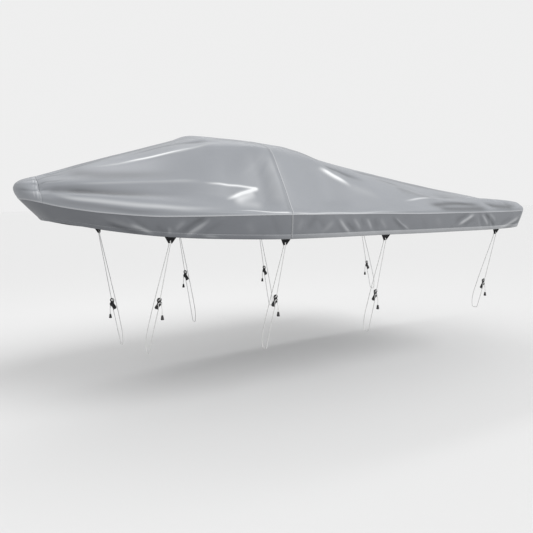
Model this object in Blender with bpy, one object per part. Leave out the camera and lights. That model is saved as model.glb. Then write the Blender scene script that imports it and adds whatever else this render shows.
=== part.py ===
"""Fitted cover for an open runabout on its trailer, with its webbing tabs and tie ropes.

Metres, +Z up, +X to the stern and -Y to port. Stations are measured aft from the nose of the
cover and heights from the ground under the trailer. The origin is at the inner face of the
crown, where the windscreen of the boat carries the cover.
"""
import bisect
import math

import bmesh
import bpy
from mathutils import Matrix, Vector

# Origin: station and height of the inner face of the crown
MOUNT_STATION = 1.82
MOUNT_HEIGHT = 2.120

# Cloth
CLOTH_THICKNESS = 0.002
SEAM_GAP = 0.0004
GUNWALE_GAP = 0.0010
CAP_STATION = 0.15
CROSS_SEAM_STATION = 1.82
CROSS_SEAM_LEAN = 0.02
CROSS_SEAM_REACH = 0.30
STERN_STATION = 4.83
STERN_HALF_BREADTH = 0.83
CASING_BULGE = 0.003
CASING_DROP = 0.91
CASING_SPREAD = 0.06
SKIRT_SLACK = 0.004
SEAM_PROBE = 0.01

# Half of each cross-section: (half-breadth, height) from the crown to the gunwale seam.
# Columns: crown, quarter, shoulder, knee, valley, deck edge, bend, seam
TOP_SECTIONS = (
    (0.15, (0.00, 1.803), (0.020, 1.800), (0.040, 1.790), (0.105, 1.747),
     (0.130, 1.704), (0.175, 1.676), (0.203, 1.638), (0.205, 1.606)),
    (0.25, (0.00, 1.831), (0.035, 1.827), (0.070, 1.812), (0.185, 1.757),
     (0.220, 1.703), (0.280, 1.668), (0.318, 1.614), (0.320, 1.577)),
    (0.50, (0.00, 1.904), (0.070, 1.896), (0.130, 1.872), (0.335, 1.762),
     (0.390, 1.700), (0.485, 1.648), (0.537, 1.568), (0.540, 1.532)),
    (0.90, (0.00, 2.011), (0.130, 1.990), (0.240, 1.932), (0.530, 1.764),
     (0.595, 1.685), (0.715, 1.605), (0.769, 1.533), (0.772, 1.500)),
    (1.30, (0.00, 2.118), (0.210, 2.100), (0.410, 2.032), (0.700, 1.742),
     (0.760, 1.640), (0.865, 1.556), (0.907, 1.522), (0.910, 1.499)),
    (1.41, (0.00, 2.151), (0.230, 2.128), (0.450, 2.050), (0.722, 1.730),
     (0.780, 1.622), (0.885, 1.547), (0.930, 1.520), (0.933, 1.499)),
    (1.64, (0.00, 2.136), (0.280, 2.115), (0.545, 2.050), (0.760, 1.735),
     (0.830, 1.610), (0.925, 1.536), (0.961, 1.516), (0.965, 1.498)),
    (1.82, (0.00, 2.122), (0.310, 2.100), (0.600, 2.030), (0.765, 1.828),
     (0.882, 1.655), (0.953, 1.548), (0.988, 1.512), (0.992, 1.496)),
    (2.25, (0.00, 2.098), (0.330, 2.050), (0.610, 1.945), (0.745, 1.770),
     (0.880, 1.580), (0.975, 1.520), (1.016, 1.504), (1.020, 1.489)),
    (2.50, (0.00, 2.045), (0.330, 1.975), (0.630, 1.880), (0.800, 1.735),
     (0.910, 1.600), (0.985, 1.522), (1.019, 1.503), (1.023, 1.485)),
    (2.70, (0.00, 1.993), (0.330, 1.926), (0.660, 1.838), (0.820, 1.720),
     (0.915, 1.620), (0.985, 1.535), (1.021, 1.503), (1.025, 1.481)),
    (3.20, (0.00, 1.885), (0.330, 1.842), (0.660, 1.742), (0.800, 1.660),
     (0.905, 1.588), (0.985, 1.532), (1.021, 1.497), (1.025, 1.467)),
    (3.70, (0.00, 1.795), (0.330, 1.757), (0.660, 1.635), (0.800, 1.605),
     (0.905, 1.578), (0.980, 1.535), (1.016, 1.495), (1.020, 1.462)),
    (4.20, (0.00, 1.712), (0.330, 1.679), (0.660, 1.598), (0.800, 1.580),
     (0.900, 1.560), (0.970, 1.527), (1.006, 1.489), (1.010, 1.457)),
    (4.58, (0.00, 1.660), (0.330, 1.627), (0.650, 1.564), (0.790, 1.550),
     (0.890, 1.535), (0.950, 1.510), (0.985, 1.483), (0.989, 1.455)),
    (4.70, (0.00, 1.640), (0.320, 1.609), (0.630, 1.552), (0.780, 1.537),
     (0.870, 1.525), (0.930, 1.505), (0.973, 1.481), (0.977, 1.456)),
    (4.78, (0.00, 1.597), (0.310, 1.576), (0.610, 1.533), (0.750, 1.521),
     (0.830, 1.512), (0.885, 1.498), (0.937, 1.477), (0.941, 1.457)),
    (4.815, (0.00, 1.535), (0.300, 1.523), (0.580, 1.503), (0.710, 1.497),
     (0.790, 1.491), (0.840, 1.483), (0.889, 1.471), (0.893, 1.458)),
    (4.83, (0.00, 1.458), (0.280, 1.458), (0.540, 1.458), (0.650, 1.458),
     (0.720, 1.458), (0.770, 1.458), (0.810, 1.458), (0.830, 1.458)),
)

# Profile of the nose on the centre plane: (distance forward of the cap seam, height),
# in the same columns as a cross-section
NOSE_PROFILE = (
    (0.000, 1.803), (0.045, 1.794), (0.096, 1.779), (0.141, 1.747),
    (0.152, 1.714), (0.145, 1.685), (0.128, 1.652), (0.117, 1.636),
)

# Power with which the nose's round profile opens to the width of the cap seam
CAP_FLARE = 3

# Hem of the skirt. Columns: position along the gunwale seam, station, half-breadth, height.
# Positions under the cap station run round the nose, those past the stern run across it.
NOSE_START = -0.10
HEM_ROWS = (
    (-0.10, 0.190, 0.000, 1.475),
    (-0.017, 0.197, 0.055, 1.472),
    (0.067, 0.222, 0.135, 1.468),
    (0.15, 0.270, 0.212, 1.460),
    (0.25, 0.340, 0.308, 1.445),
    (0.50, 0.550, 0.522, 1.402),
    (0.90, 0.915, 0.752, 1.354),
    (1.30, 1.300, 0.890, 1.330),
    (1.82, 1.820, 0.975, 1.311),
    (2.25, 2.250, 1.004, 1.307),
    (2.70, 2.700, 1.010, 1.304),
    (3.20, 3.200, 1.010, 1.297),
    (3.70, 3.700, 1.005, 1.293),
    (4.20, 4.195, 0.994, 1.289),
    (4.58, 4.560, 0.968, 1.292),
    (4.70, 4.655, 0.952, 1.296),
    (4.78, 4.715, 0.920, 1.300),
    (4.815, 4.745, 0.875, 1.302),
    (4.83, 4.757, 0.820, 1.303),
    (5.16, 4.760, 0.490, 1.303),
    (5.66, 4.760, 0.000, 1.303),
)

# Soft troughs (negative) and ridges (positive) of the top.
# Columns: start station, start offset to starboard, end station, end offset, width, height
TOP_FOLDS = (
    (0.08, -0.03, 0.62, -0.11, 0.022, -0.004),
    (0.08, -0.07, 0.50, -0.24, 0.025, -0.004),
    (0.10, 0.05, 0.70, 0.20, 0.030, -0.005),
    (1.00, -0.17, 1.60, -0.38, 0.050, 0.008),
    (1.72, -0.52, 1.35, -0.66, 0.060, -0.006),
    (2.22, -0.61, 2.58, -0.86, 0.045, 0.014),
    (2.35, 0.60, 2.80, 0.84, 0.060, 0.012),
    (2.45, -0.52, 3.10, -0.60, 0.050, -0.010),
    (3.10, -0.60, 3.85, -0.70, 0.055, -0.014),
    (2.60, 0.50, 3.90, 0.66, 0.080, -0.014),
    (3.05, -0.83, 3.45, -0.86, 0.050, 0.010),
    (3.85, -0.80, 4.15, -0.80, 0.050, 0.012),
    (4.15, -0.80, 4.60, -0.90, 0.040, 0.007),
    (3.60, 0.82, 4.30, 0.86, 0.060, 0.012),
)

# Troughs and ridges of the skirt.
# Columns: position at the seam, position at the hem, width, height, side (-1 port, 1 starboard)
SKIRT_FOLDS = (
    (0.62, 0.78, 0.030, -0.005, -1),
    (1.14, 0.99, 0.035, -0.007, -1),
    (1.26, 1.06, 0.030, 0.006, -1),
    (1.62, 1.70, 0.030, -0.004, -1),
    (2.02, 2.12, 0.030, -0.005, -1),
    (2.20, 2.34, 0.035, 0.005, -1),
    (2.52, 2.66, 0.030, -0.005, -1),
    (3.02, 2.86, 0.035, -0.005, -1),
    (3.75, 3.52, 0.035, 0.007, -1),
    (3.98, 4.05, 0.030, -0.008, -1),
    (4.12, 4.18, 0.025, 0.008, -1),
    (4.60, 4.38, 0.035, 0.007, -1),
    (5.10, 4.95, 0.050, 0.006, -1),
    (0.58, 0.76, 0.035, -0.006, 1),
    (1.20, 1.02, 0.035, 0.007, 1),
    (2.10, 1.92, 0.035, -0.006, 1),
    (2.45, 2.60, 0.035, 0.006, 1),
    (3.60, 3.40, 0.040, 0.006, 1),
    (4.05, 4.14, 0.030, -0.008, 1),
    (4.62, 4.42, 0.040, 0.006, 1),
    (5.20, 5.02, 0.050, -0.006, 1),
)

# Webbing tabs
TAB_TOP_WIDTH = 0.080
TAB_SHOULDER_WIDTH = 0.030
TAB_TIP_SPREAD = 0.018
TAB_DROP = 0.050
TAB_SHOULDER_DROP = 0.046
TAB_NOTCH_DROP = 0.0425
TAB_THICKNESS = 0.003
TAB_HOLE_DROP = 0.030
TAB_HOLE_RADIUS = 0.0055
TAB_HOLE_SAG = 0.001
TAB_GAP = 0.0009

# Tie ropes. Columns: name, side (-1 port, 1 starboard), position along the seam, half-breadth
# and height of the rail's outer lower corner, height of the tensioner's eye
TIES = (
    ("bow_port", -1, 0.884, 0.255, 0.388, 0.862),
    ("midship_port", -1, 1.754, 0.680, 0.392, 0.845),
    ("quarter_port", -1, 2.763, 0.808, 0.429, 0.800),
    ("stern_port", -1, 4.286, 0.796, 0.478, 0.762),
    ("bow_starboard", 1, 0.812, 0.225, 0.386, 0.738),
    ("midship_starboard", 1, 1.754, 0.680, 0.392, 0.870),
    ("quarter_starboard", 1, 2.763, 0.808, 0.429, 0.835),
    ("stern_starboard", 1, 4.286, 0.796, 0.478, 0.790),
)
ROPE_DIAMETER = 0.006
ROPE_BEND = 0.012
ROPE_STEPS = 2
STRAIGHT_LEG = 0.025
STRAND_LEAD = 0.030
RAIL_WIDTH = 0.055
RAIL_HEIGHT = 0.100
RAIL_CORNER = 0.014
CORNER_SHARE = 0.3
WINDING_START = (0.002, -0.130)
FACE_GAP = 0.0003
WRAP_GAP = 0.0008

# Rope's way out of the tensioner's eye: (up along the tie, out of the plate's middle)
EYE_ROUTE = ((0.0, -0.006), (0.001, 0.002), (0.004, 0.0085), (0.012, 0.012), (0.030, 0.012))

# Rope's free tail: (drop, swing outwards)
TAIL_ROUTE = ((0.022, 0.005), (0.050, 0.010), (0.085, 0.010))

# Tensioner: an eye over an offset body with two posts that the rope is wound past.
# Its own axes: a along the boat, b up along the rope, c out of its face.
PLATE_THICKNESS = 0.008
EYE_RADIUS = 0.019
EYE_HOLE_RADIUS = 0.010
UPPER_POST = (0.008, -0.037)
UPPER_POST_RADIUS = 0.0092
UPPER_LOBE_RADIUS = 0.020
LOWER_POST = (-0.009, -0.068)
LOWER_POST_RADIUS = 0.0075
LOWER_LOBE_RADIUS = 0.017
PLATE_WAIST = (-0.010, -0.031)
PLATE_TIP = (0.004, -0.092)
PLATE_HEEL = (0.008, -0.072)
POST_HEIGHT = 0.008

# Stop on the free end of each rope
STOP_LENGTH = 0.036
STOP_TOP_RADIUS = 0.008
STOP_FOOT_RADIUS = 0.013

# Mesh steps
ROUND_SIDES = 12
DRILL_REACH = 0.02
CAP_TURNS = 12
FRONT_STATIONS = (0.15, 0.25, 0.36, 0.48, 0.6, 0.72, 0.84, 0.96, 1.08, 1.2, 1.3, 1.38, 1.43,
                  1.56, 1.69, 1.82)
REAR_STATIONS = (1.82, 1.95, 2.1, 2.25, 2.38, 2.5, 2.62, 2.78, 2.95, 3.12, 3.3, 3.48, 3.66,
                 3.84, 4.02, 4.2, 4.38, 4.55, 4.66, 4.74, 4.79, 4.818, 4.83)
HALF_COLUMNS = (0.0, 0.8, 1.5, 2.0, 2.5, 3.0, 3.5, 4.0, 4.6, 5.2, 6.0, 7.0)
SKIRT_DROPS = (0.0, 0.3, 0.6, 0.83, 0.92, 1.0)
STERN_POSITIONS = (4.95, 5.12, 5.3, 5.48, 5.66)

# Places where the skirt has a row of its own, for its folds
SKIRT_ROWS = (0.66, 0.78, 1.02, 1.14, 1.25, 2.02, 2.18, 2.31, 2.44, 2.56, 2.7, 2.87, 3.03, 3.57,
              3.75, 3.93, 4.09, 4.15, 4.47, 5.04)

MERGE_DISTANCE = 0.00001
AFT = Vector((1.0, 0.0, 0.0))
ACROSS = Vector((0.0, 1.0, 0.0))
UPWARD = Vector((0.0, 0.0, 1.0))

FINISHES = {
    "cover_cloth": ((0.36, 0.375, 0.395, 1.0), 0.45, 0.0),
    "skirt_cloth": ((0.23, 0.24, 0.255, 1.0), 0.5, 0.0),
    "webbing": ((0.02, 0.02, 0.022, 1.0), 0.75, 0.0),
    "rope": ((0.85, 0.85, 0.83, 1.0), 0.7, 0.0),
    "plastic": ((0.015, 0.015, 0.017, 1.0), 0.35, 0.0),
}


def clear_scene():
    for item in list(bpy.data.objects):
        bpy.data.objects.remove(item, do_unlink=True)


def make_materials():
    materials = {}
    for name, (color, roughness, metallic) in FINISHES.items():
        material = bpy.data.materials.new(name)
        material.use_nodes = True
        shader = material.node_tree.nodes["Principled BSDF"]
        shader.inputs["Base Color"].default_value = color
        shader.inputs["Roughness"].default_value = roughness
        shader.inputs["Metallic"].default_value = metallic
        materials[name] = material
    return materials


def placed(station, offset, height):
    """Point in the part's frame from station, offset to starboard and height."""
    return Vector((station - MOUNT_STATION, offset, height - MOUNT_HEIGHT))


def smooth_through(xs, ys):
    """Curve through the given points that adds no dip or bump between them."""
    steps = [b - a for a, b in zip(xs, xs[1:])]
    slopes = [(b - a) / h for a, b, h in zip(ys, ys[1:], steps)]
    tangents = [slopes[0]]
    for before, after, h0, h1 in zip(slopes, slopes[1:], steps, steps[1:]):
        if before * after <= 0.0:
            tangents.append(0.0)
            continue
        w0 = 2.0 * h1 + h0
        w1 = h1 + 2.0 * h0
        tangents.append((w0 + w1) / (w0 / before + w1 / after))
    tangents.append(slopes[-1])

    def value(x):
        i = 0
        while i < len(steps) - 1 and x > xs[i + 1]:
            i += 1
        h = steps[i]
        t = min(max((x - xs[i]) / h, 0.0), 1.0)
        rise = ys[i + 1] - ys[i]
        cubic = tangents[i] * h + tangents[i + 1] * h - 2.0 * rise
        square = 3.0 * rise - 2.0 * tangents[i] * h - tangents[i + 1] * h
        return ys[i] + t * (tangents[i] * h + t * (square + t * cubic))

    return value


COLUMN_COUNT = len(NOSE_PROFILE)
SHOULDER_COLUMN = 2
SECTION_STATIONS = [row[0] for row in TOP_SECTIONS]
COLUMN_BREADTHS = [smooth_through(SECTION_STATIONS, [row[1 + c][0] for row in TOP_SECTIONS])
                   for c in range(COLUMN_COUNT)]
COLUMN_HEIGHTS = [smooth_through(SECTION_STATIONS, [row[1 + c][1] for row in TOP_SECTIONS])
                  for c in range(COLUMN_COUNT)]
HEM_POSITIONS = [row[0] for row in HEM_ROWS]
HEM_STATION, HEM_BREADTH, HEM_HEIGHT = (
    smooth_through(HEM_POSITIONS, [row[c] for row in HEM_ROWS]) for c in (1, 2, 3))


def across(breadths, heights):
    """Full section from its half columns: offset and height as curves of the column."""
    columns = list(range(1 - COLUMN_COUNT, COLUMN_COUNT))
    offsets = [math.copysign(breadths[abs(c)], c) if c else 0.0 for c in columns]
    return smooth_through(columns, offsets), smooth_through(columns, [heights[abs(c)] for c in columns])


def fold_height(station, offset, folds):
    """Sum of the troughs and ridges at a place in plan."""
    total = 0.0
    for x0, y0, x1, y1, width, height in folds:
        along = Vector((x1 - x0, y1 - y0))
        place = Vector((station - x0, offset - y0))
        t = place.dot(along) / along.length_squared
        if not -0.3 < t < 1.3:
            continue
        aside = (place - along * t).length
        fade = math.sin(math.pi * (t + 0.3) / 1.6) ** 2
        total += height * fade * math.exp(-(aside / width) ** 2)
    return total


def leaned(station, column):
    """Station moved with the lean of the cross seam, aft at the crown and forward at its feet."""
    near = max(1.0 - abs(station - CROSS_SEAM_STATION) / CROSS_SEAM_REACH, 0.0)
    level = min(1.0, (SHOULDER_COLUMN + COLUMN_COUNT - 1 - 2.0 * abs(column))
                / (COLUMN_COUNT - 1 - SHOULDER_COLUMN))
    return station + CROSS_SEAM_LEAN * near * level


def top_point(station, column):
    """Outer face of the top at a station and a signed column, port negative."""
    breadths = [curve(station) for curve in COLUMN_BREADTHS]
    heights = [curve(station) for curve in COLUMN_HEIGHTS]
    offset_at, height_at = across(breadths, heights)
    offset = offset_at(column)
    rise = fold_height(station, offset, TOP_FOLDS)
    return placed(station, offset, height_at(column) + rise)


def cap_point(turn, column):
    """Outer face of the nose cap. The turn runs from port, -1, over the stem, 0, to starboard."""
    angle = turn * math.pi / 2.0
    side = abs(turn) ** CAP_FLARE
    breadths = [curve(CAP_STATION) for curve in COLUMN_BREADTHS]
    heights = [curve(CAP_STATION) for curve in COLUMN_HEIGHTS]
    columns = list(range(COLUMN_COUNT))
    reach = [n[0] * (1.0 - side) + b * side for n, b in zip(NOSE_PROFILE, breadths)]
    level = [n[1] * (1.0 - side) + h * side for n, h in zip(NOSE_PROFILE, heights)]
    distance = smooth_through(columns, reach)(column)
    height = smooth_through(columns, level)(column)
    station = CAP_STATION - distance * math.cos(angle)
    offset = distance * math.sin(angle)
    return placed(station, offset, height + fold_height(station, offset, TOP_FOLDS))


def seam_point(position, side):
    """Gunwale seam at a position from the stem round to the middle of the stern."""
    last = COLUMN_COUNT - 1
    if position < CAP_STATION:
        turn = (position - NOSE_START) / (CAP_STATION - NOSE_START)
        return cap_point(side * turn, last)
    if position <= STERN_STATION:
        return top_point(position, side * last)
    across_stern = STERN_HALF_BREADTH - (position - STERN_STATION)
    return placed(STERN_STATION, side * across_stern, TOP_SECTIONS[-1][-1][1])


def hem_point(position, side):
    return placed(HEM_STATION(position), side * HEM_BREADTH(position), HEM_HEIGHT(position))


def skirt_point(position, drop, side):
    """Outer face of the skirt, from its seam, 0, to the foot of its hem, 1."""
    seam = seam_point(position, side)
    hem = hem_point(position, side)
    ahead = seam_point(min(position + SEAM_PROBE, HEM_POSITIONS[-1]), side)
    behind = seam_point(max(position - SEAM_PROBE, HEM_POSITIONS[0]), side)
    along = ahead - behind
    outward = Vector((along.y, -along.x, 0.0)).normalized() * -side
    fold = 0.0
    for at_seam, at_hem, width, height, fold_side in SKIRT_FOLDS:
        if fold_side == side:
            middle = at_seam + (at_hem - at_seam) * drop
            fold += height * math.exp(-((position - middle) / width) ** 2)
    hang = math.sin(math.pi * drop)
    casing = CASING_BULGE * math.exp(-((drop - CASING_DROP) / CASING_SPREAD) ** 2)
    return seam.lerp(hem, drop) + outward * ((fold + SKIRT_SLACK) * hang + casing)


def edges_of(grid):
    """The four edges of a grid: first and last row, first and last column."""
    return grid[0], grid[-1], [row[0] for row in grid], [row[-1] for row in grid]


def sheet_object(name, rows, material, seams, flip=False):
    """Cloth of even thickness under the grid of points of its outer face.

    The seams give, for each edge of the grid, the direction across it that its neighbour
    shares, so that the two raw edges stay parallel. A free edge has None.
    """
    mesh = bmesh.new()
    grid = [[mesh.verts.new(point) for point in row] for row in rows]
    for upper, lower in zip(grid, grid[1:]):
        for a, b, c, d in zip(upper, upper[1:], lower[1:], lower):
            mesh.faces.new((a, d, c, b) if flip else (a, b, c, d))
    # both walls are cut along the same diagonals, so they never cross in a twisted cell
    bmesh.ops.triangulate(mesh, faces=mesh.faces, quad_method="SHORT_EDGE")
    mesh.normal_update()
    depth = {vert: vert.normal.copy() for vert in mesh.verts}
    for edge, across_seam in zip(edges_of(grid), seams):
        for vert in edge if across_seam else ():
            depth[vert] -= across_seam * depth[vert].dot(across_seam)
    outer_faces = list(mesh.faces)
    inner = {}
    for vert in list(mesh.verts):
        inner[vert] = mesh.verts.new(vert.co - depth[vert].normalized() * CLOTH_THICKNESS)
    for face in outer_faces:
        mesh.faces.new([inner[vert] for vert in reversed(face.verts)])
    for edge in [e for e in mesh.edges if e.is_boundary and e.verts[0] in inner]:
        start, end = edge.verts
        mesh.faces.new((start, end, inner[end], inner[start]))
    bmesh.ops.remove_doubles(mesh, verts=mesh.verts, dist=MERGE_DISTANCE)
    bmesh.ops.recalc_face_normals(mesh, faces=mesh.faces)
    data = bpy.data.meshes.new(name)
    mesh.to_mesh(data)
    mesh.free()
    item = bpy.data.objects.new(name, data)
    bpy.context.collection.objects.link(item)
    data.materials.append(material)
    data.shade_smooth()
    return item


def signed_columns():
    return [-c for c in reversed(HALF_COLUMNS[1:])] + list(HALF_COLUMNS)


def trimmed(points, first, last):
    """Row of points with its two ends drawn in by a gap along the row."""
    row = list(points)
    if first:
        row[0] = row[0] + (row[1] - row[0]).normalized() * first
    if last:
        row[-1] = row[-1] + (row[-2] - row[-1]).normalized() * last
    return row


def make_top(name, stations, seams, material):
    """Top panel between two seams, its edges half a gap short of its neighbours."""
    places = list(stations)
    places[0] += SEAM_GAP / 2.0
    places[-1] -= SEAM_GAP / 2.0
    rows = []
    for station in places:
        points = [top_point(leaned(station, c), c) for c in signed_columns()]
        rows.append(trimmed(points, GUNWALE_GAP / 2.0, GUNWALE_GAP / 2.0))
    if seams[1] is UPWARD:
        rows[-1] = [point + UPWARD * (GUNWALE_GAP / 2.0) for point in rows[-1]]
    return sheet_object(name, rows, material, seams + (UPWARD, UPWARD), flip=True)


def make_cap(material):
    """Nose cap: a fan of profiles from its crown down to the gunwale seam."""
    rows = []
    for column in HALF_COLUMNS:
        row = []
        for step in range(CAP_TURNS + 1):
            turn = -1.0 + 2.0 * step / CAP_TURNS
            point = cap_point(turn, column)
            if column == HALF_COLUMNS[-1]:
                point.z += GUNWALE_GAP / 2.0
            row.append(point - Vector((SEAM_GAP / 2.0, 0.0, 0.0)))
        rows.append(row)
    return sheet_object("nose_cap", rows, material, (None, UPWARD, AFT, AFT))


def seam_stations(stations):
    """Positions at which the rows of a top panel meet the gunwale seam."""
    return [leaned(station, COLUMN_COUNT - 1) for station in stations]


def on_chord(stops, position, side):
    """Gunwale seam at a position, read on the straight edges between the top's own rows."""
    after = max(min(bisect.bisect_right(stops, position), len(stops) - 1), 1)
    low, high = stops[after - 1], stops[after]
    share = (position - low) / (high - low)
    return seam_point(low, side).lerp(seam_point(high, side), share)


def make_skirt(name, stops, side, ends, material):
    """Strip from the gunwale seam to the hem on one side."""
    places = SKIRT_ROWS + tuple(tie[2] for tie in TIES if tie[1] == side)
    between = [p for p in places if stops[0] < p < stops[-1]]
    positions = sorted(stops + between)
    positions[0] += SEAM_GAP / 2.0
    positions[-1] -= SEAM_GAP / 2.0
    rows = []
    for position in positions:
        shift = on_chord(stops, position, side) - seam_point(position, side)
        points = [skirt_point(position, drop, side) + shift * (1.0 - drop)
                  for drop in SKIRT_DROPS]
        rows.append(trimmed(points, GUNWALE_GAP / 2.0, 0.0))
    return sheet_object(name, rows, material, ends + (UPWARD, None), flip=side > 0)


def tie_frame(tie):
    """Hem point, direction down the tie and direction out of the tab's face."""
    name, side, position, rail_breadth, rail_height, eye_height = tie
    hem = skirt_point(position, 1.0, side)
    down = placed(position, side * rail_breadth, rail_height) - hem
    down.x = 0.0
    down.normalize()
    out = Vector((0.0, -down.z, down.y)) * side
    return hem, down, out


def frame_matrix(lateral, upward, out, place):
    columns = (lateral, upward, out, place)
    rows = [[column[i] for column in columns] for i in range(3)]
    return Matrix(rows + [[0.0, 0.0, 0.0, 1.0]])


def tab_frame(tie):
    """Directions along the hem, up the tab and out of its face, and the middle of its top edge."""
    name, side, position = tie[:3]
    hem, down, out = tie_frame(tie)
    ahead = skirt_point(position + TAB_TOP_WIDTH / 2, 1.0, side)
    behind = skirt_point(position - TAB_TOP_WIDTH / 2, 1.0, side)
    along = (ahead - behind).normalized()
    face = along.cross(down).normalized() * side
    upward = along.cross(face).normalized() * side
    place = hem - face * (CLOTH_THICKNESS / 2.0) + down * TAB_GAP
    return upward.cross(face), upward, face, place


def make_tab(tie, material):
    """Folded webbing tab: a plate that narrows to two tips, with a hole for the rope."""
    outline = (
        (-TAB_TOP_WIDTH / 2, 0.0), (TAB_TOP_WIDTH / 2, 0.0),
        (TAB_SHOULDER_WIDTH / 2, -TAB_SHOULDER_DROP), (TAB_TIP_SPREAD / 2, -TAB_DROP),
        (0.0, -TAB_NOTCH_DROP), (-TAB_TIP_SPREAD / 2, -TAB_DROP),
        (-TAB_SHOULDER_WIDTH / 2, -TAB_SHOULDER_DROP),
    )
    plate = plate_object("tab_" + tie[0], outline, TAB_THICKNESS, material)
    drill(plate, (0.0, -TAB_HOLE_DROP), TAB_HOLE_RADIUS)
    plate.matrix_world = frame_matrix(*tab_frame(tie))


def plate_object(name, outline, thickness, material):
    """Flat plate with the given outline in its own a-b plane, centred on that plane."""
    mesh = bmesh.new()
    base = mesh.faces.new([mesh.verts.new((a, b, -thickness / 2.0)) for a, b in outline])
    raised = bmesh.ops.extrude_face_region(mesh, geom=[base])
    lifted = [v for v in raised["geom"] if isinstance(v, bmesh.types.BMVert)]
    bmesh.ops.translate(mesh, verts=lifted, vec=(0.0, 0.0, thickness))
    bmesh.ops.recalc_face_normals(mesh, faces=mesh.faces)
    data = bpy.data.meshes.new(name)
    mesh.to_mesh(data)
    mesh.free()
    item = bpy.data.objects.new(name, data)
    bpy.context.collection.objects.link(item)
    data.materials.append(material)
    return item


def round_solid(name, center, radius, low, high):
    mesh = bmesh.new()
    bmesh.ops.create_cone(mesh, cap_ends=True, segments=ROUND_SIDES, radius1=radius,
                          radius2=radius, depth=high - low)
    bmesh.ops.translate(mesh, verts=mesh.verts, vec=(center[0], center[1], (high + low) / 2.0))
    data = bpy.data.meshes.new(name)
    mesh.to_mesh(data)
    mesh.free()
    item = bpy.data.objects.new(name, data)
    bpy.context.collection.objects.link(item)
    return item


def combine(item, other, operation):
    step = item.modifiers.new(operation.lower(), "BOOLEAN")
    step.operation = operation
    step.solver = "EXACT"
    step.object = other
    other.hide_render = True
    other.display_type = "WIRE"
    other.parent = item


def drill(item, center, radius):
    cutter = round_solid(item.name + "_cutter", center, radius, -DRILL_REACH, DRILL_REACH)
    combine(item, cutter, "DIFFERENCE")


def arc(center, radius, start, end, steps):
    """Points of an arc in degrees, both ends included."""
    points = []
    for i in range(steps + 1):
        angle = math.radians(start + (end - start) * i / steps)
        points.append((center[0] + radius * math.cos(angle), center[1] + radius * math.sin(angle)))
    return points


def tensioner_outline():
    """Eye, upper lobe to one side, lower lobe to the other and a small tip at the foot."""
    outline = arc((0.0, 0.0), EYE_RADIUS, -35.0, 215.0, 9)
    outline += [PLATE_WAIST]
    outline += arc(LOWER_POST, LOWER_LOBE_RADIUS, 140.0, 285.0, 5)
    outline += [PLATE_TIP, PLATE_HEEL]
    outline += arc(UPPER_POST, UPPER_LOBE_RADIUS, -70.0, 60.0, 5)
    return outline


def make_tensioner(name, eye, down, out, material):
    plate = plate_object(name, tensioner_outline(), PLATE_THICKNESS, material)
    drill(plate, (0.0, 0.0), EYE_HOLE_RADIUS)
    for label, center, radius in (("upper", UPPER_POST, UPPER_POST_RADIUS),
                                  ("lower", LOWER_POST, LOWER_POST_RADIUS)):
        post = round_solid(name + "_" + label, center, radius, 0.0,
                           PLATE_THICKNESS / 2.0 + POST_HEIGHT)
        combine(plate, post, "UNION")
    plate.matrix_world = frame_matrix(out.cross(down), -down, out, eye)


def smooth_route(points):
    """Even curve through the route's points. Only the short legs, which bend, are divided."""
    distances = [0.0]
    for a, b in zip(points, points[1:]):
        distances.append(distances[-1] + (b - a).length ** 0.5)
    curve = [points[0]]
    for i in range(len(points) - 1):
        p1, p2 = points[i], points[i + 1]
        t1, t2 = distances[i], distances[i + 1]
        p0 = points[i - 1] if i else p1 * 2.0 - p2
        t0 = distances[i - 1] if i else 2.0 * t1 - t2
        p3 = points[i + 2] if i + 2 < len(points) else p2 * 2.0 - p1
        t3 = distances[i + 2] if i + 2 < len(points) else 2.0 * t2 - t1
        steps = 1 if (p2 - p1).length > STRAIGHT_LEG else ROPE_STEPS
        for k in range(1, steps + 1):
            t = t1 + (t2 - t1) * k / steps
            a1 = p0.lerp(p1, (t - t0) / (t1 - t0))
            a2 = p1.lerp(p2, (t - t1) / (t2 - t1))
            a3 = p2.lerp(p3, (t - t2) / (t3 - t2))
            b1 = a1.lerp(a2, (t - t0) / (t2 - t0))
            b2 = a2.lerp(a3, (t - t1) / (t3 - t1))
            curve.append(b1.lerp(b2, (t - t1) / (t2 - t1)))
    return curve


def winding(face):
    """Rope's way up the plate: past the lower post, over the upper post and off its far side."""
    beside = LOWER_POST_RADIUS + ROPE_DIAMETER / 2.0 + WRAP_GAP
    around = UPPER_POST_RADIUS + ROPE_DIAMETER / 2.0 + WRAP_GAP
    points = [(WINDING_START[0], WINDING_START[1], face),
              (PLATE_TIP[0], PLATE_TIP[1] - ROPE_DIAMETER, face),
              (LOWER_POST[0] + beside, LOWER_POST[1], face)]
    for a, b in reversed(arc(UPPER_POST, around, 0.0, 180.0, 4)):
        points.append((a, b, face))
    return points


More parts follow.
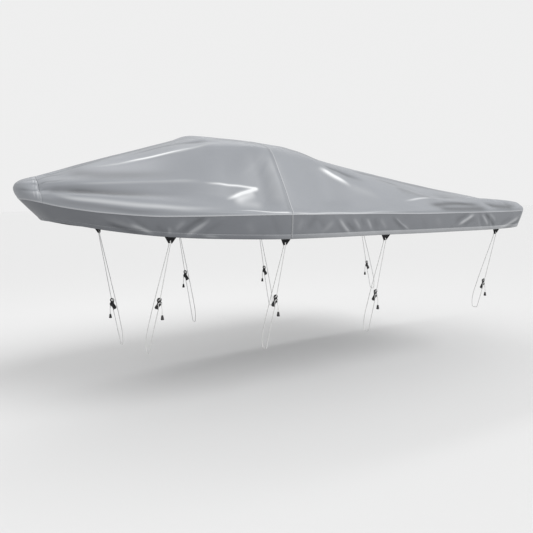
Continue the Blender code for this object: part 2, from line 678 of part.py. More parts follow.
def tie_route(tie):
    """Eye of the tensioner, the tie's directions and the rope's route from eye to free end."""
    name, side, position, rail_breadth, rail_height, eye_height = tie
    hem, down, out = tie_frame(tie)
    lateral = out.cross(down)
    along, upward, tab_face, tab_top = tab_frame(tie)
    turn = tab_top - upward * TAB_HOLE_DROP + down * (TAB_HOLE_SAG + ROPE_BEND)
    eye = turn + down * ((eye_height - MOUNT_HEIGHT - turn.z) / down.z)

    route = [eye - down * rise + out * reach for rise, reach in EYE_ROUTE]
    route.append(turn + out * ROPE_BEND + down * STRAND_LEAD)
    for a, b in arc((0.0, 0.0), ROPE_BEND, 0.0, 180.0, 3):
        route.append(turn + out * a - down * b)
    route.append(turn - out * ROPE_BEND + down * STRAND_LEAD)

    outer = rail_breadth + ROPE_DIAMETER / 2.0
    inner = rail_breadth - RAIL_WIDTH - ROPE_DIAMETER / 2.0
    under = rail_height - ROPE_DIAMETER / 2.0
    cut = RAIL_CORNER * CORNER_SHARE
    for breadth, height in ((inner, rail_height + RAIL_HEIGHT), (inner, under + RAIL_CORNER),
                            (inner + cut, under + cut), (inner + RAIL_CORNER, under),
                            (outer - RAIL_CORNER, under), (outer - cut, under + cut),
                            (outer, under + RAIL_CORNER)):
        corner = placed(position, side * breadth, height)
        route.append(Vector((turn.x, corner.y, corner.z)))

    for a, b, c in winding(PLATE_THICKNESS / 2.0 + ROPE_DIAMETER / 2.0 + WRAP_GAP):
        route.append(eye + lateral * a - down * b + out * c)
    last = route[-1]
    for drop, swing in TAIL_ROUTE:
        route.append(last + Vector((0.0, side * swing, -drop)))
    return eye, down, out, route


def make_rope(name, route, material):
    curve = bpy.data.curves.new(name, "CURVE")
    curve.dimensions = "3D"
    curve.bevel_depth = ROPE_DIAMETER / 2.0
    curve.bevel_resolution = 2
    curve.use_fill_caps = True
    points = smooth_route(route)
    spline = curve.splines.new("POLY")
    spline.points.add(len(points) - 1)
    for point, place in zip(spline.points, points):
        point.co = (place.x, place.y, place.z, 1.0)
    curve.materials.append(material)
    item = bpy.data.objects.new(name, curve)
    bpy.context.collection.objects.link(item)
    return item


def make_stop(name, top, material):
    """Tapered stop that hangs from the free end of a rope."""
    mesh = bmesh.new()
    bmesh.ops.create_cone(mesh, cap_ends=True, segments=12, radius1=STOP_FOOT_RADIUS,
                          radius2=STOP_TOP_RADIUS, depth=STOP_LENGTH)
    data = bpy.data.meshes.new(name)
    mesh.to_mesh(data)
    mesh.free()
    item = bpy.data.objects.new(name, data)
    bpy.context.collection.objects.link(item)
    data.materials.append(material)
    item.location = top - Vector((0.0, 0.0, STOP_LENGTH / 2.0 + FACE_GAP))
    return item


def make_tie(tie, materials):
    name = tie[0]
    eye, down, out, route = tie_route(tie)
    make_tab(tie, materials["webbing"])
    make_tensioner("tensioner_" + name, eye, down, out, materials["plastic"])
    make_rope("rope_" + name, route, materials["rope"])
    make_stop("stop_" + name, route[-1], materials["plastic"])


def main():
    clear_scene()
    materials = make_materials()
    make_cap(materials["cover_cloth"])
    make_top("front_top", FRONT_STATIONS, (AFT, AFT), materials["cover_cloth"])
    make_top("rear_top", REAR_STATIONS, (AFT, UPWARD), materials["cover_cloth"])
    turns = CAP_TURNS // 2
    nose = [NOSE_START + (CAP_STATION - NOSE_START) * i / turns for i in range(turns)]
    front = nose + seam_stations(FRONT_STATIONS)
    rear = seam_stations(REAR_STATIONS) + list(STERN_POSITIONS)
    for side, label in ((-1, "port"), (1, "starboard")):
        cloth = materials["skirt_cloth"]
        make_skirt("front_skirt_" + label, front, side, (ACROSS, AFT), cloth)
        make_skirt("rear_skirt_" + label, rear, side, (AFT, ACROSS), cloth)
    for tie in TIES:
        make_tie(tie, materials)


main()
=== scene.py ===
import math
from functools import lru_cache

import bmesh
import bpy
import numpy as np
from mathutils import Matrix, Vector, noise


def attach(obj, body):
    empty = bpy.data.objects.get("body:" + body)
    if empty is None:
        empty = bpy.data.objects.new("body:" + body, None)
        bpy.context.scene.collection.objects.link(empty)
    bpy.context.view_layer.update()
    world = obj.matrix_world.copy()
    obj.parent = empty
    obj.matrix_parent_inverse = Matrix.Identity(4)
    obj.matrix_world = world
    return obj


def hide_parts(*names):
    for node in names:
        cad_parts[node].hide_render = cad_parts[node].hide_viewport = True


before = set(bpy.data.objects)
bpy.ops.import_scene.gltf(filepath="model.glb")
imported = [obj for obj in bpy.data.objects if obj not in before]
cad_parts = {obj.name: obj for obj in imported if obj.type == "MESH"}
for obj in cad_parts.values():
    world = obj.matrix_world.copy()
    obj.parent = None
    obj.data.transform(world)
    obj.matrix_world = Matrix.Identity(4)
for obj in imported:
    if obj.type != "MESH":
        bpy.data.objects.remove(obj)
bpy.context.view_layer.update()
print("frame loaded")

# ---- the cut of the cover, in stations aft of the nose, offsets to starboard and heights ----

cut = {
    "mountStation": 1.82,      # the frame's origin sits here, on the crown's inner face
    "mountHeight": 2.12,
    "capStation": 0.15,
    "crossSeam": 1.82,
    "crossSeamLean": 0.02,
    "crossSeamReach": 0.30,
    "stern": 4.83,
    "sternHalfBreadth": 0.83,
    "noseStart": -0.10,
    "capFlare": 3,
    "shoulder": 2,             # column of the shoulder in a section
}

# Half sections. Each pair is (half-breadth, height); columns:
# crown, quarter, shoulder, knee, valley, deck edge, bend, seam
topSections = (
    (0.15, (0.00, 1.803), (0.020, 1.800), (0.040, 1.790), (0.105, 1.747),
     (0.130, 1.704), (0.175, 1.676), (0.203, 1.638), (0.205, 1.606)),
    (0.25, (0.00, 1.831), (0.035, 1.827), (0.070, 1.812), (0.185, 1.757),
     (0.220, 1.703), (0.280, 1.668), (0.318, 1.614), (0.320, 1.577)),
    (0.50, (0.00, 1.904), (0.070, 1.896), (0.130, 1.872), (0.335, 1.762),
     (0.390, 1.700), (0.485, 1.648), (0.537, 1.568), (0.540, 1.532)),
    (0.90, (0.00, 2.011), (0.130, 1.990), (0.240, 1.932), (0.530, 1.764),
     (0.595, 1.685), (0.715, 1.605), (0.769, 1.533), (0.772, 1.500)),
    (1.30, (0.00, 2.118), (0.210, 2.100), (0.410, 2.032), (0.700, 1.742),
     (0.760, 1.640), (0.865, 1.556), (0.907, 1.522), (0.910, 1.499)),
    (1.41, (0.00, 2.151), (0.230, 2.128), (0.450, 2.050), (0.722, 1.730),
     (0.780, 1.622), (0.885, 1.547), (0.930, 1.520), (0.933, 1.499)),
    (1.64, (0.00, 2.136), (0.280, 2.115), (0.545, 2.050), (0.760, 1.735),
     (0.830, 1.610), (0.925, 1.536), (0.961, 1.516), (0.965, 1.498)),
    (1.82, (0.00, 2.122), (0.310, 2.100), (0.600, 2.030), (0.765, 1.828),
     (0.882, 1.655), (0.953, 1.548), (0.988, 1.512), (0.992, 1.496)),
    (2.25, (0.00, 2.098), (0.330, 2.050), (0.610, 1.945), (0.745, 1.770),
     (0.880, 1.580), (0.975, 1.520), (1.016, 1.504), (1.020, 1.489)),
    (2.50, (0.00, 2.045), (0.330, 1.975), (0.630, 1.880), (0.800, 1.735),
     (0.910, 1.600), (0.985, 1.522), (1.019, 1.503), (1.023, 1.485)),
    (2.70, (0.00, 1.993), (0.330, 1.926), (0.660, 1.838), (0.820, 1.720),
     (0.915, 1.620), (0.985, 1.535), (1.021, 1.503), (1.025, 1.481)),
    (3.20, (0.00, 1.885), (0.330, 1.842), (0.660, 1.742), (0.800, 1.660),
     (0.905, 1.588), (0.985, 1.532), (1.021, 1.497), (1.025, 1.467)),
    (3.70, (0.00, 1.795), (0.330, 1.757), (0.660, 1.635), (0.800, 1.605),
     (0.905, 1.578), (0.980, 1.535), (1.016, 1.495), (1.020, 1.462)),
    (4.20, (0.00, 1.712), (0.330, 1.679), (0.660, 1.598), (0.800, 1.580),
     (0.900, 1.560), (0.970, 1.527), (1.006, 1.489), (1.010, 1.457)),
    (4.58, (0.00, 1.660), (0.330, 1.627), (0.650, 1.564), (0.790, 1.550),
     (0.890, 1.535), (0.950, 1.510), (0.985, 1.483), (0.989, 1.455)),
    (4.70, (0.00, 1.640), (0.320, 1.609), (0.630, 1.552), (0.780, 1.537),
     (0.870, 1.525), (0.930, 1.505), (0.973, 1.481), (0.977, 1.456)),
    (4.78, (0.00, 1.597), (0.310, 1.576), (0.610, 1.533), (0.750, 1.521),
     (0.830, 1.512), (0.885, 1.498), (0.937, 1.477), (0.941, 1.457)),
    (4.815, (0.00, 1.535), (0.300, 1.523), (0.580, 1.503), (0.710, 1.497),
     (0.790, 1.491), (0.840, 1.483), (0.889, 1.471), (0.893, 1.458)),
    (4.83, (0.00, 1.458), (0.280, 1.458), (0.540, 1.458), (0.650, 1.458),
     (0.720, 1.458), (0.770, 1.458), (0.810, 1.458), (0.830, 1.458)),
)

# Nose on the centre plane: (distance ahead of the cap seam, height), same columns
noseProfile = (
    (0.000, 1.803), (0.045, 1.794), (0.096, 1.779), (0.141, 1.747),
    (0.152, 1.714), (0.145, 1.685), (0.128, 1.652), (0.117, 1.636),
)

# Hem: position along the gunwale seam, station, half-breadth, height
hemRows = (
    (-0.10, 0.190, 0.000, 1.475),
    (-0.017, 0.197, 0.055, 1.472),
    (0.067, 0.222, 0.135, 1.468),
    (0.15, 0.270, 0.212, 1.460),
    (0.25, 0.340, 0.308, 1.445),
    (0.50, 0.550, 0.522, 1.402),
    (0.90, 0.915, 0.752, 1.354),
    (1.30, 1.300, 0.890, 1.330),
    (1.82, 1.820, 0.975, 1.311),
    (2.25, 2.250, 1.004, 1.307),
    (2.70, 2.700, 1.010, 1.304),
    (3.20, 3.200, 1.010, 1.297),
    (3.70, 3.700, 1.005, 1.293),
    (4.20, 4.195, 0.994, 1.289),
    (4.58, 4.560, 0.968, 1.292),
    (4.70, 4.655, 0.952, 1.296),
    (4.78, 4.715, 0.920, 1.300),
    (4.815, 4.745, 0.875, 1.302),
    (4.83, 4.757, 0.820, 1.303),
    (5.16, 4.760, 0.490, 1.303),
    (5.66, 4.760, 0.000, 1.303),
)

# Broad troughs and ridges of the top: start station, start offset, end station, end offset,
# width, height
topFolds = (
    (0.08, -0.03, 0.62, -0.11, 0.022, -0.004),
    (0.08, -0.07, 0.50, -0.24, 0.025, -0.004),
    (0.10, 0.05, 0.70, 0.20, 0.030, -0.005),
    (1.00, -0.17, 1.60, -0.38, 0.050, 0.008),
    (1.72, -0.52, 1.35, -0.66, 0.060, -0.006),
    (2.22, -0.61, 2.58, -0.86, 0.045, 0.014),
    (2.35, 0.60, 2.80, 0.84, 0.060, 0.012),
    (2.45, -0.52, 3.10, -0.60, 0.050, -0.010),
    (3.10, -0.60, 3.85, -0.70, 0.055, -0.014),
    (2.60, 0.50, 3.90, 0.66, 0.080, -0.014),
    (3.05, -0.83, 3.45, -0.86, 0.050, 0.010),
    (3.85, -0.80, 4.15, -0.80, 0.050, 0.012),
    (4.15, -0.80, 4.60, -0.90, 0.040, 0.007),
    (3.60, 0.82, 4.30, 0.86, 0.060, 0.012),
)

# Creases laid on top of them: places as station and offset, width, height, radius of the crest,
# painted light along the crest (painted highlight where positive, painted shade where negative), and the share of
# its length over which each end fades
topCreases = (
    # nose, fanning back from the cap
    (((0.034, -0.068, 1.753), (0.081, -0.077, 1.771), (0.139, -0.071, 1.777), (0.22, -0.068, 1.801),
      (0.29, -0.107, 1.811), (0.36, -0.138, 1.822)), 0.011, -0.0024, 0.003, -0.55, 0.25, 0.35),
    (((0.19, -0.025, 1.81), (0.25, -0.053, 1.817), (0.37, -0.069, 1.852)),
     0.010, -0.0016, 0.003, -0.4, 0.3, 0.4),
    (((0.054, -0.1, 1.743), (0.12, -0.116, 1.746), (0.18, -0.121, 1.755), (0.27, -0.181, 1.769),
      (0.35, -0.219, 1.779)), 0.011, -0.0024, 0.003, -0.55, 0.25, 0.35),
    (((0.003, -0.038, 1.711), (0.055, -0.115, 1.703), (0.113, -0.142, 1.699), (0.17, -0.15, 1.702),
      (0.27, -0.236, 1.703)), 0.011, -0.002, 0.003, -0.4, 0.25, 0.35),
    (((0.148, -0.117, 1.728), (0.25, -0.201, 1.734), (0.37, -0.279, 1.741)),
     0.014, 0.0012, 0.004, 0.12, 0.3, 0.4),
    (((0.038, -0.096, 1.681), (0.109, -0.157, 1.68), (0.17, -0.196, 1.674), (0.26, -0.289, 1.667),
      (0.37, -0.389, 1.656)), 0.013, 0.0012, 0.004, 0.16, 0.3, 0.4),
    (((0.16, -0.01), (0.28, -0.02), (0.44, -0.01)), 0.010, -0.0016, 0.003, -0.2, 0.3, 0.4),
    (((0.32, -0.064), (0.51, -0.08), (0.72, -0.087)), 0.014, -0.003, 0.004, -0.3, 0.3, 0.4),
    # two turned edges of the cap's seam
    (((0.131, -0.189, 1.628), (0.13, -0.173, 1.671), (0.133, -0.126, 1.721), (0.144, -0.079, 1.769),
      (0.16, -0.02, 1.805), (0.16, 0.02, 1.805), (0.144, 0.079, 1.769), (0.133, 0.126, 1.721),
      (0.13, 0.173, 1.671), (0.131, 0.189, 1.628)), 0.0062, 0.001, 0.002, 0.3, 0.04, 0.04),
    (((0.112, -0.172, 1.637), (0.107, -0.153, 1.686), (0.115, -0.116, 1.747), (0.132, -0.036, 1.79),
      (0.132, 0.036, 1.79), (0.115, 0.116, 1.747), (0.107, 0.153, 1.686), (0.112, 0.172, 1.637)),
     0.0054, 0.0008, 0.002, 0.22, 0.06, 0.06),
    # valley under the knee, with the light roll and the shade below it
    (((0.15, -0.14), (0.28, -0.25), (0.42, -0.352), (0.59, -0.464), (0.8, -0.574), (1.03, -0.674),
      (1.2, -0.73)), 0.056, -0.005, 0.012, -0.6, 0.12, 0.6),
    (((0.27, -0.236), (0.42, -0.362), (0.59, -0.488), (0.78, -0.593), (1.01, -0.689)),
     0.036, -0.002, 0.012, -0.5, 0.2, 0.5),
    (((0.15, -0.19), (0.34, -0.385), (0.54, -0.541), (0.78, -0.69), (1.1, -0.824), (1.34, -0.875)),
     0.026, 0.003, 0.014, 0.4, 0.2, 0.4),
    (((0.16, -0.214), (0.35, -0.411), (0.53, -0.557), (0.77, -0.706), (1.02, -0.819)),
     0.026, -0.0025, 0.012, -0.38, 0.15, 0.4),
    (((0.25, -0.198), (0.46, -0.33), (0.85, -0.517), (1.24, -0.682)),
     0.020, 0.004, 0.008, 0.2, 0.3, 0.2),
    # painted shade between the shoulder and the knee, with no rise of its own
    (((0.31, -0.04), (0.38, -0.132), (0.46, -0.21), (0.56, -0.29), (0.75, -0.39), (0.94, -0.488),
      (1.14, -0.598)), 0.085, 0, 0.020, -0.52, 0.2, 0.45),
    # soft drag along the crown, from the nose to the stern, darkened with painted shade
    (((0.29, -0.041), (0.52, -0.048), (0.76, -0.055), (1.0, -0.068), (1.13, -0.08), (1.37, -0.145)),
     0.036, -0.002, 0.010, -0.46, 0.15, 0.15),
    (((1.41, -0.327), (1.52, -0.376), (1.63, -0.427), (1.73, -0.49), (1.84, -0.52)),
     0.036, -0.002, 0.010, -0.36, 0.25, 0.15),
    (((1.98, -0.44), (2.19, -0.484), (2.31, -0.53), (2.48, -0.55), (2.61, -0.575), (2.75, -0.595)),
     0.046, -0.002, 0.012, -0.42, 0.15, 0.2),
    (((2.7, -0.56), (3.0, -0.52), (3.23, -0.5), (3.48, -0.456), (3.74, -0.425), (3.94, -0.437),
      (4.12, -0.475), (4.29, -0.529)), 0.060, -0.002, 0.016, -0.5, 0.15, 0.2),
    # crown of the bow, outside the shoulder
    (((0.77, -0.131), (0.9, -0.147), (1.05, -0.18), (1.19, -0.255), (1.35, -0.361), (1.54, -0.444)),
     0.022, -0.005, 0.005, -0.5, 0.3, 0.3),
    (((0.89, -0.072), (1.06, -0.032), (1.24, -0.03)), 0.020, -0.004, 0.005, -0.35, 0.3, 0.3),
    # shoulder from the nose to the windscreen's corner
    (((0.48, -0.145), (0.66, -0.197), (0.96, -0.262), (1.24, -0.398), (1.53, -0.464)),
     0.018, 0.004, 0.003, 0.3, 0.3, 0.35),
    (((0.71, -0.2), (0.85, -0.224), (0.96, -0.262), (1.12, -0.332), (1.31, -0.426)),
     0.013, 0.0024, 0.003, 1.0, 0.35, 0.45),
    # corner of the windscreen's foot
    (((1.19, -0.664), (1.27, -0.694), (1.36, -0.714), (1.46, -0.737), (1.55, -0.762), (1.61, -0.776),
      (1.64, -0.783)), 0.011, 0.003, 0.004, 1.0, 0.42, 0.1),
    (((1.635, -0.782), (1.58, -0.777), (1.53, -0.773), (1.46, -0.768), (1.4, -0.77), (1.33, -0.784)),
     0.018, 0.003, 0.004, 1.1, 0.12, 0.42),
    (((1.6, -0.786), (1.51, -0.785), (1.38, -0.797)), 0.044, 0.002, 0.012, 0.45, 0.2, 0.4),
    (((1.38, -0.79), (1.46, -0.82), (1.55, -0.85), (1.63, -0.885)), 0.070, 0, 0.020, 0.24, 0.3, 0.3),
    (((1.81, -0.66), (1.79, -0.76), (1.77, -0.84), (1.74, -0.92)), 0.090, 0, 0.020, 0.13, 0.3, 0.2),
    # drag lines under the windscreen's top corner
    (((1.8, -0.638), (1.65, -0.682), (1.49, -0.707)), 0.030, 0.0012, 0.010, 0.03, 0.3, 0.3),
    (((1.8, -0.691), (1.7, -0.717), (1.58, -0.742)), 0.026, -0.0012, 0.010, -0.05, 0.3, 0.3),
    (((1.8, -0.785), (1.7, -0.807), (1.58, -0.85)), 0.030, 0.0008, 0.012, 0.02, 0.3, 0.3),
    # hollow in front of the cross seam
    (((1.822, -0.2), (1.822, -0.62), (1.818, -0.77), (1.808, -0.88), (1.79, -0.985)),
     0.014, -0.001, 0.004, -0.24, 0.2, 0.05),
    (((1.822, 0.2), (1.822, 0.62), (1.818, 0.77), (1.808, 0.88), (1.79, 0.985)),
     0.014, -0.001, 0.004, -0.2, 0.2, 0.05),
    # roll over the gunwale
    (((1.34, -0.894), (1.47, -0.911), (1.62, -0.951), (1.81, -0.988)),
     0.008, 0.003, 0.002, 0.95, 0.45, 0.12),
    (((1.77, -0.983), (2.05, -1.009), (2.46, -1.021), (3.16, -1.023)),
     0.008, 0.0016, 0.002, 0.4, 0.1, 0.6),
    # port quarter, from the windscreen's aft corner
    (((2.285, -0.673), (2.35, -0.706), (2.41, -0.748), (2.48, -0.793), (2.54, -0.84)),
     0.026, 0.008, 0.008, 1.25, 0.3, 0.45),
    (((2.47, -0.8), (2.62, -0.865), (2.82, -0.926)), 0.060, 0.001, 0.020, 0.10, 0.3, 0.5),
    (((2.35, -0.634), (2.49, -0.66), (2.6, -0.725), (2.76, -0.788)),
     0.040, -0.014, 0.009, -0.66, 0.25, 0.5),
    (((2.84, -0.67), (3.08, -0.65), (3.31, -0.672), (3.45, -0.715), (3.6, -0.738), (3.75, -0.752),
      (3.9, -0.79)), 0.040, -0.012, 0.010, -0.95, 0.3, 0.15),
    (((3.05, -0.925), (3.24, -0.896), (3.46, -0.867), (3.66, -0.828)),
     0.013, 0.005, 0.003, 0.62, 0.3, 0.45),
    (((3.3, -0.972), (3.46, -0.962), (3.66, -0.952), (3.9, -0.962), (4.1, -0.975)),
     0.046, -0.007, 0.012, -0.9, 0.2, 0.25),
    (((3.38, -1.008), (3.67, -1.012), (3.92, -1.01), (4.15, -1.005)),
     0.036, -0.003, 0.010, -0.85, 0.2, 0.2),
    (((3.1, -0.76), (3.3, -0.8), (3.46, -0.84), (3.6, -0.88)), 0.080, 0, 0.020, -0.4, 0.2, 0.3),
    (((3.7, -0.66), (4.0, -0.7), (4.3, -0.74), (4.6, -0.78)), 0.130, 0, 0.030, -0.32, 0.2, 0.2),
    (((3.52, -0.915), (3.74, -0.93), (3.91, -0.95)), 0.030, -0.004, 0.008, -0.3, 0.2, 0.3),
    # port stern corner
    (((3.94, -0.84), (4.14, -0.81), (4.28, -0.853), (4.35, -0.974)),
     0.014, 0.006, 0.003, 0.35, 0.3, 0.3),
    (((4.09, -0.934), (4.19, -0.972), (4.32, -0.985), (4.6, -0.975)),
     0.040, -0.010, 0.009, -0.85, 0.25, 0.25),
    (((4.41, -0.93), (4.5, -0.955), (4.62, -0.97)), 0.026, -0.005, 0.006, -0.35, 0.3, 0.2),
    # fuller cloth over the two stern corners
    (((3.86, -0.87), (4.1, -0.89), (4.3, -0.905), (4.5, -0.91), (4.66, -0.905), (4.75, -0.87),
      (4.79, -0.8), (4.8, -0.66)), 0.060, 0.031, 0.030, 0.04, 0.5, 0.25),
    (((4.3, 0.9), (4.6, 0.91), (4.7, 0.89), (4.76, 0.83), (4.78, 0.7)),
     0.060, 0.016, 0.030, 0.04, 0.35, 0.4),
    # starboard side, its own fall
    (((0.1, 0.04), (0.35, 0.105), (0.6, 0.15)), 0.014, -0.0035, 0.003, 0, 0.3, 0.3),
    (((0.14, 0.09), (0.48, 0.275)), 0.014, -0.003, 0.003, 0, 0.3, 0.3),
    (((0.42, 0.1), (1.01, 0.283), (1.6, 0.445)), 0.024, 0.0045, 0.003, 0.9, 0.3, 0.3),
    (((0.2, 0.15), (0.76, 0.454), (1.32, 0.705)), 0.03, 0.004, 0.008, 0.25, 0.3, 0.3),
    (((0.06, 0.11), (0.555, 0.42), (1.05, 0.65)), 0.032, -0.0045, 0.008, -0.2, 0.3, 0.3),
    (((1.22, 0.682), (1.62, 0.782)), 0.016, 0.005, 0.003, 0.9, 0.3, 0.3),
    (((1.62, 0.782), (1.36, 0.772)), 0.022, 0.0045, 0.004, 0.7, 0.3, 0.3),
    (((1.8, 0.62), (1.32, 0.7)), 0.022, 0.002, 0.005, 0.1, 0.3, 0.3),
    (((1.2, 0.87), (1.65, 0.955), (2.1, 1.008)), 0.01, 0.003, 0.002, 0.8, 0.3, 0.3),
    (((2.26, 0.625), (2.66, 0.9)), 0.018, 0.007, 0.003, 0.9, 0.3, 0.3),
    (((2.36, 0.6), (2.655, 0.53), (2.95, 0.44)), 0.02, -0.007, 0.003, -0.2, 0.3, 0.3),
    (((2.5, 0.61), (3, 0.637), (3.5, 0.64)), 0.024, -0.006, 0.004, -0.2, 0.3, 0.3),
    (((3.5, 0.64), (4.1, 0.7)), 0.024, -0.006, 0.004, -0.2, 0.3, 0.3),
    (((3.3, 0.9), (3.8, 0.84)), 0.024, 0.0055, 0.004, 0.5, 0.3, 0.3),
    (((3.9, 0.85), (4.25, 0.96)), 0.02, 0.0055, 0.004, 0.5, 0.3, 0.3),
    (((4.3, 0.84), (4.62, 0.94)), 0.024, -0.0045, 0.005, -0.2, 0.3, 0.3),
    # crown behind the windscreen
    (((1.95, -0.35), (2.6, -0.25)), 0.05, -0.004, 0.02, 0, 0.3, 0.3),
    (((1.95, 0.36), (2.7, 0.24)), 0.05, -0.004, 0.02, 0, 0.3, 0.3),
    (((2.6, -0.08), (3.5, -0.09), (4.4, -0.16)), 0.06, 0.005, 0.03, 0, 0.3, 0.3),
    (((2.8, 0.2), (3.65, 0.21), (4.5, 0.26)), 0.06, -0.005, 0.03, 0, 0.3, 0.3),
)

# Folds of the skirt: position at the seam, position at the hem, width, height, side
skirtFolds = (
    (0.62, 0.78, 0.030, -0.005, -1),
    (1.14, 0.99, 0.035, -0.007, -1),
    (1.26, 1.06, 0.030, 0.006, -1),
    (1.62, 1.70, 0.030, -0.004, -1),
    (2.02, 2.12, 0.030, -0.005, -1),
    (2.20, 2.34, 0.035, 0.005, -1),
    (2.52, 2.66, 0.030, -0.005, -1),
    (3.02, 2.86, 0.035, -0.005, -1),
    (3.75, 3.52, 0.035, 0.007, -1),
    (3.98, 4.05, 0.030, -0.008, -1),
    (4.12, 4.18, 0.025, 0.008, -1),
    (4.60, 4.38, 0.035, 0.007, -1),
    (5.10, 4.95, 0.050, 0.006, -1),
    (0.58, 0.76, 0.035, -0.006, 1),
    (1.20, 1.02, 0.035, 0.007, 1),
    (2.10, 1.92, 0.035, -0.006, 1),
    (2.45, 2.60, 0.035, 0.006, 1),
    (3.60, 3.40, 0.040, 0.006, 1),
    (4.05, 4.14, 0.030, -0.008, 1),
    (4.62, 4.42, 0.040, 0.006, 1),
    (5.20, 5.02, 0.050, -0.006, 1),
)
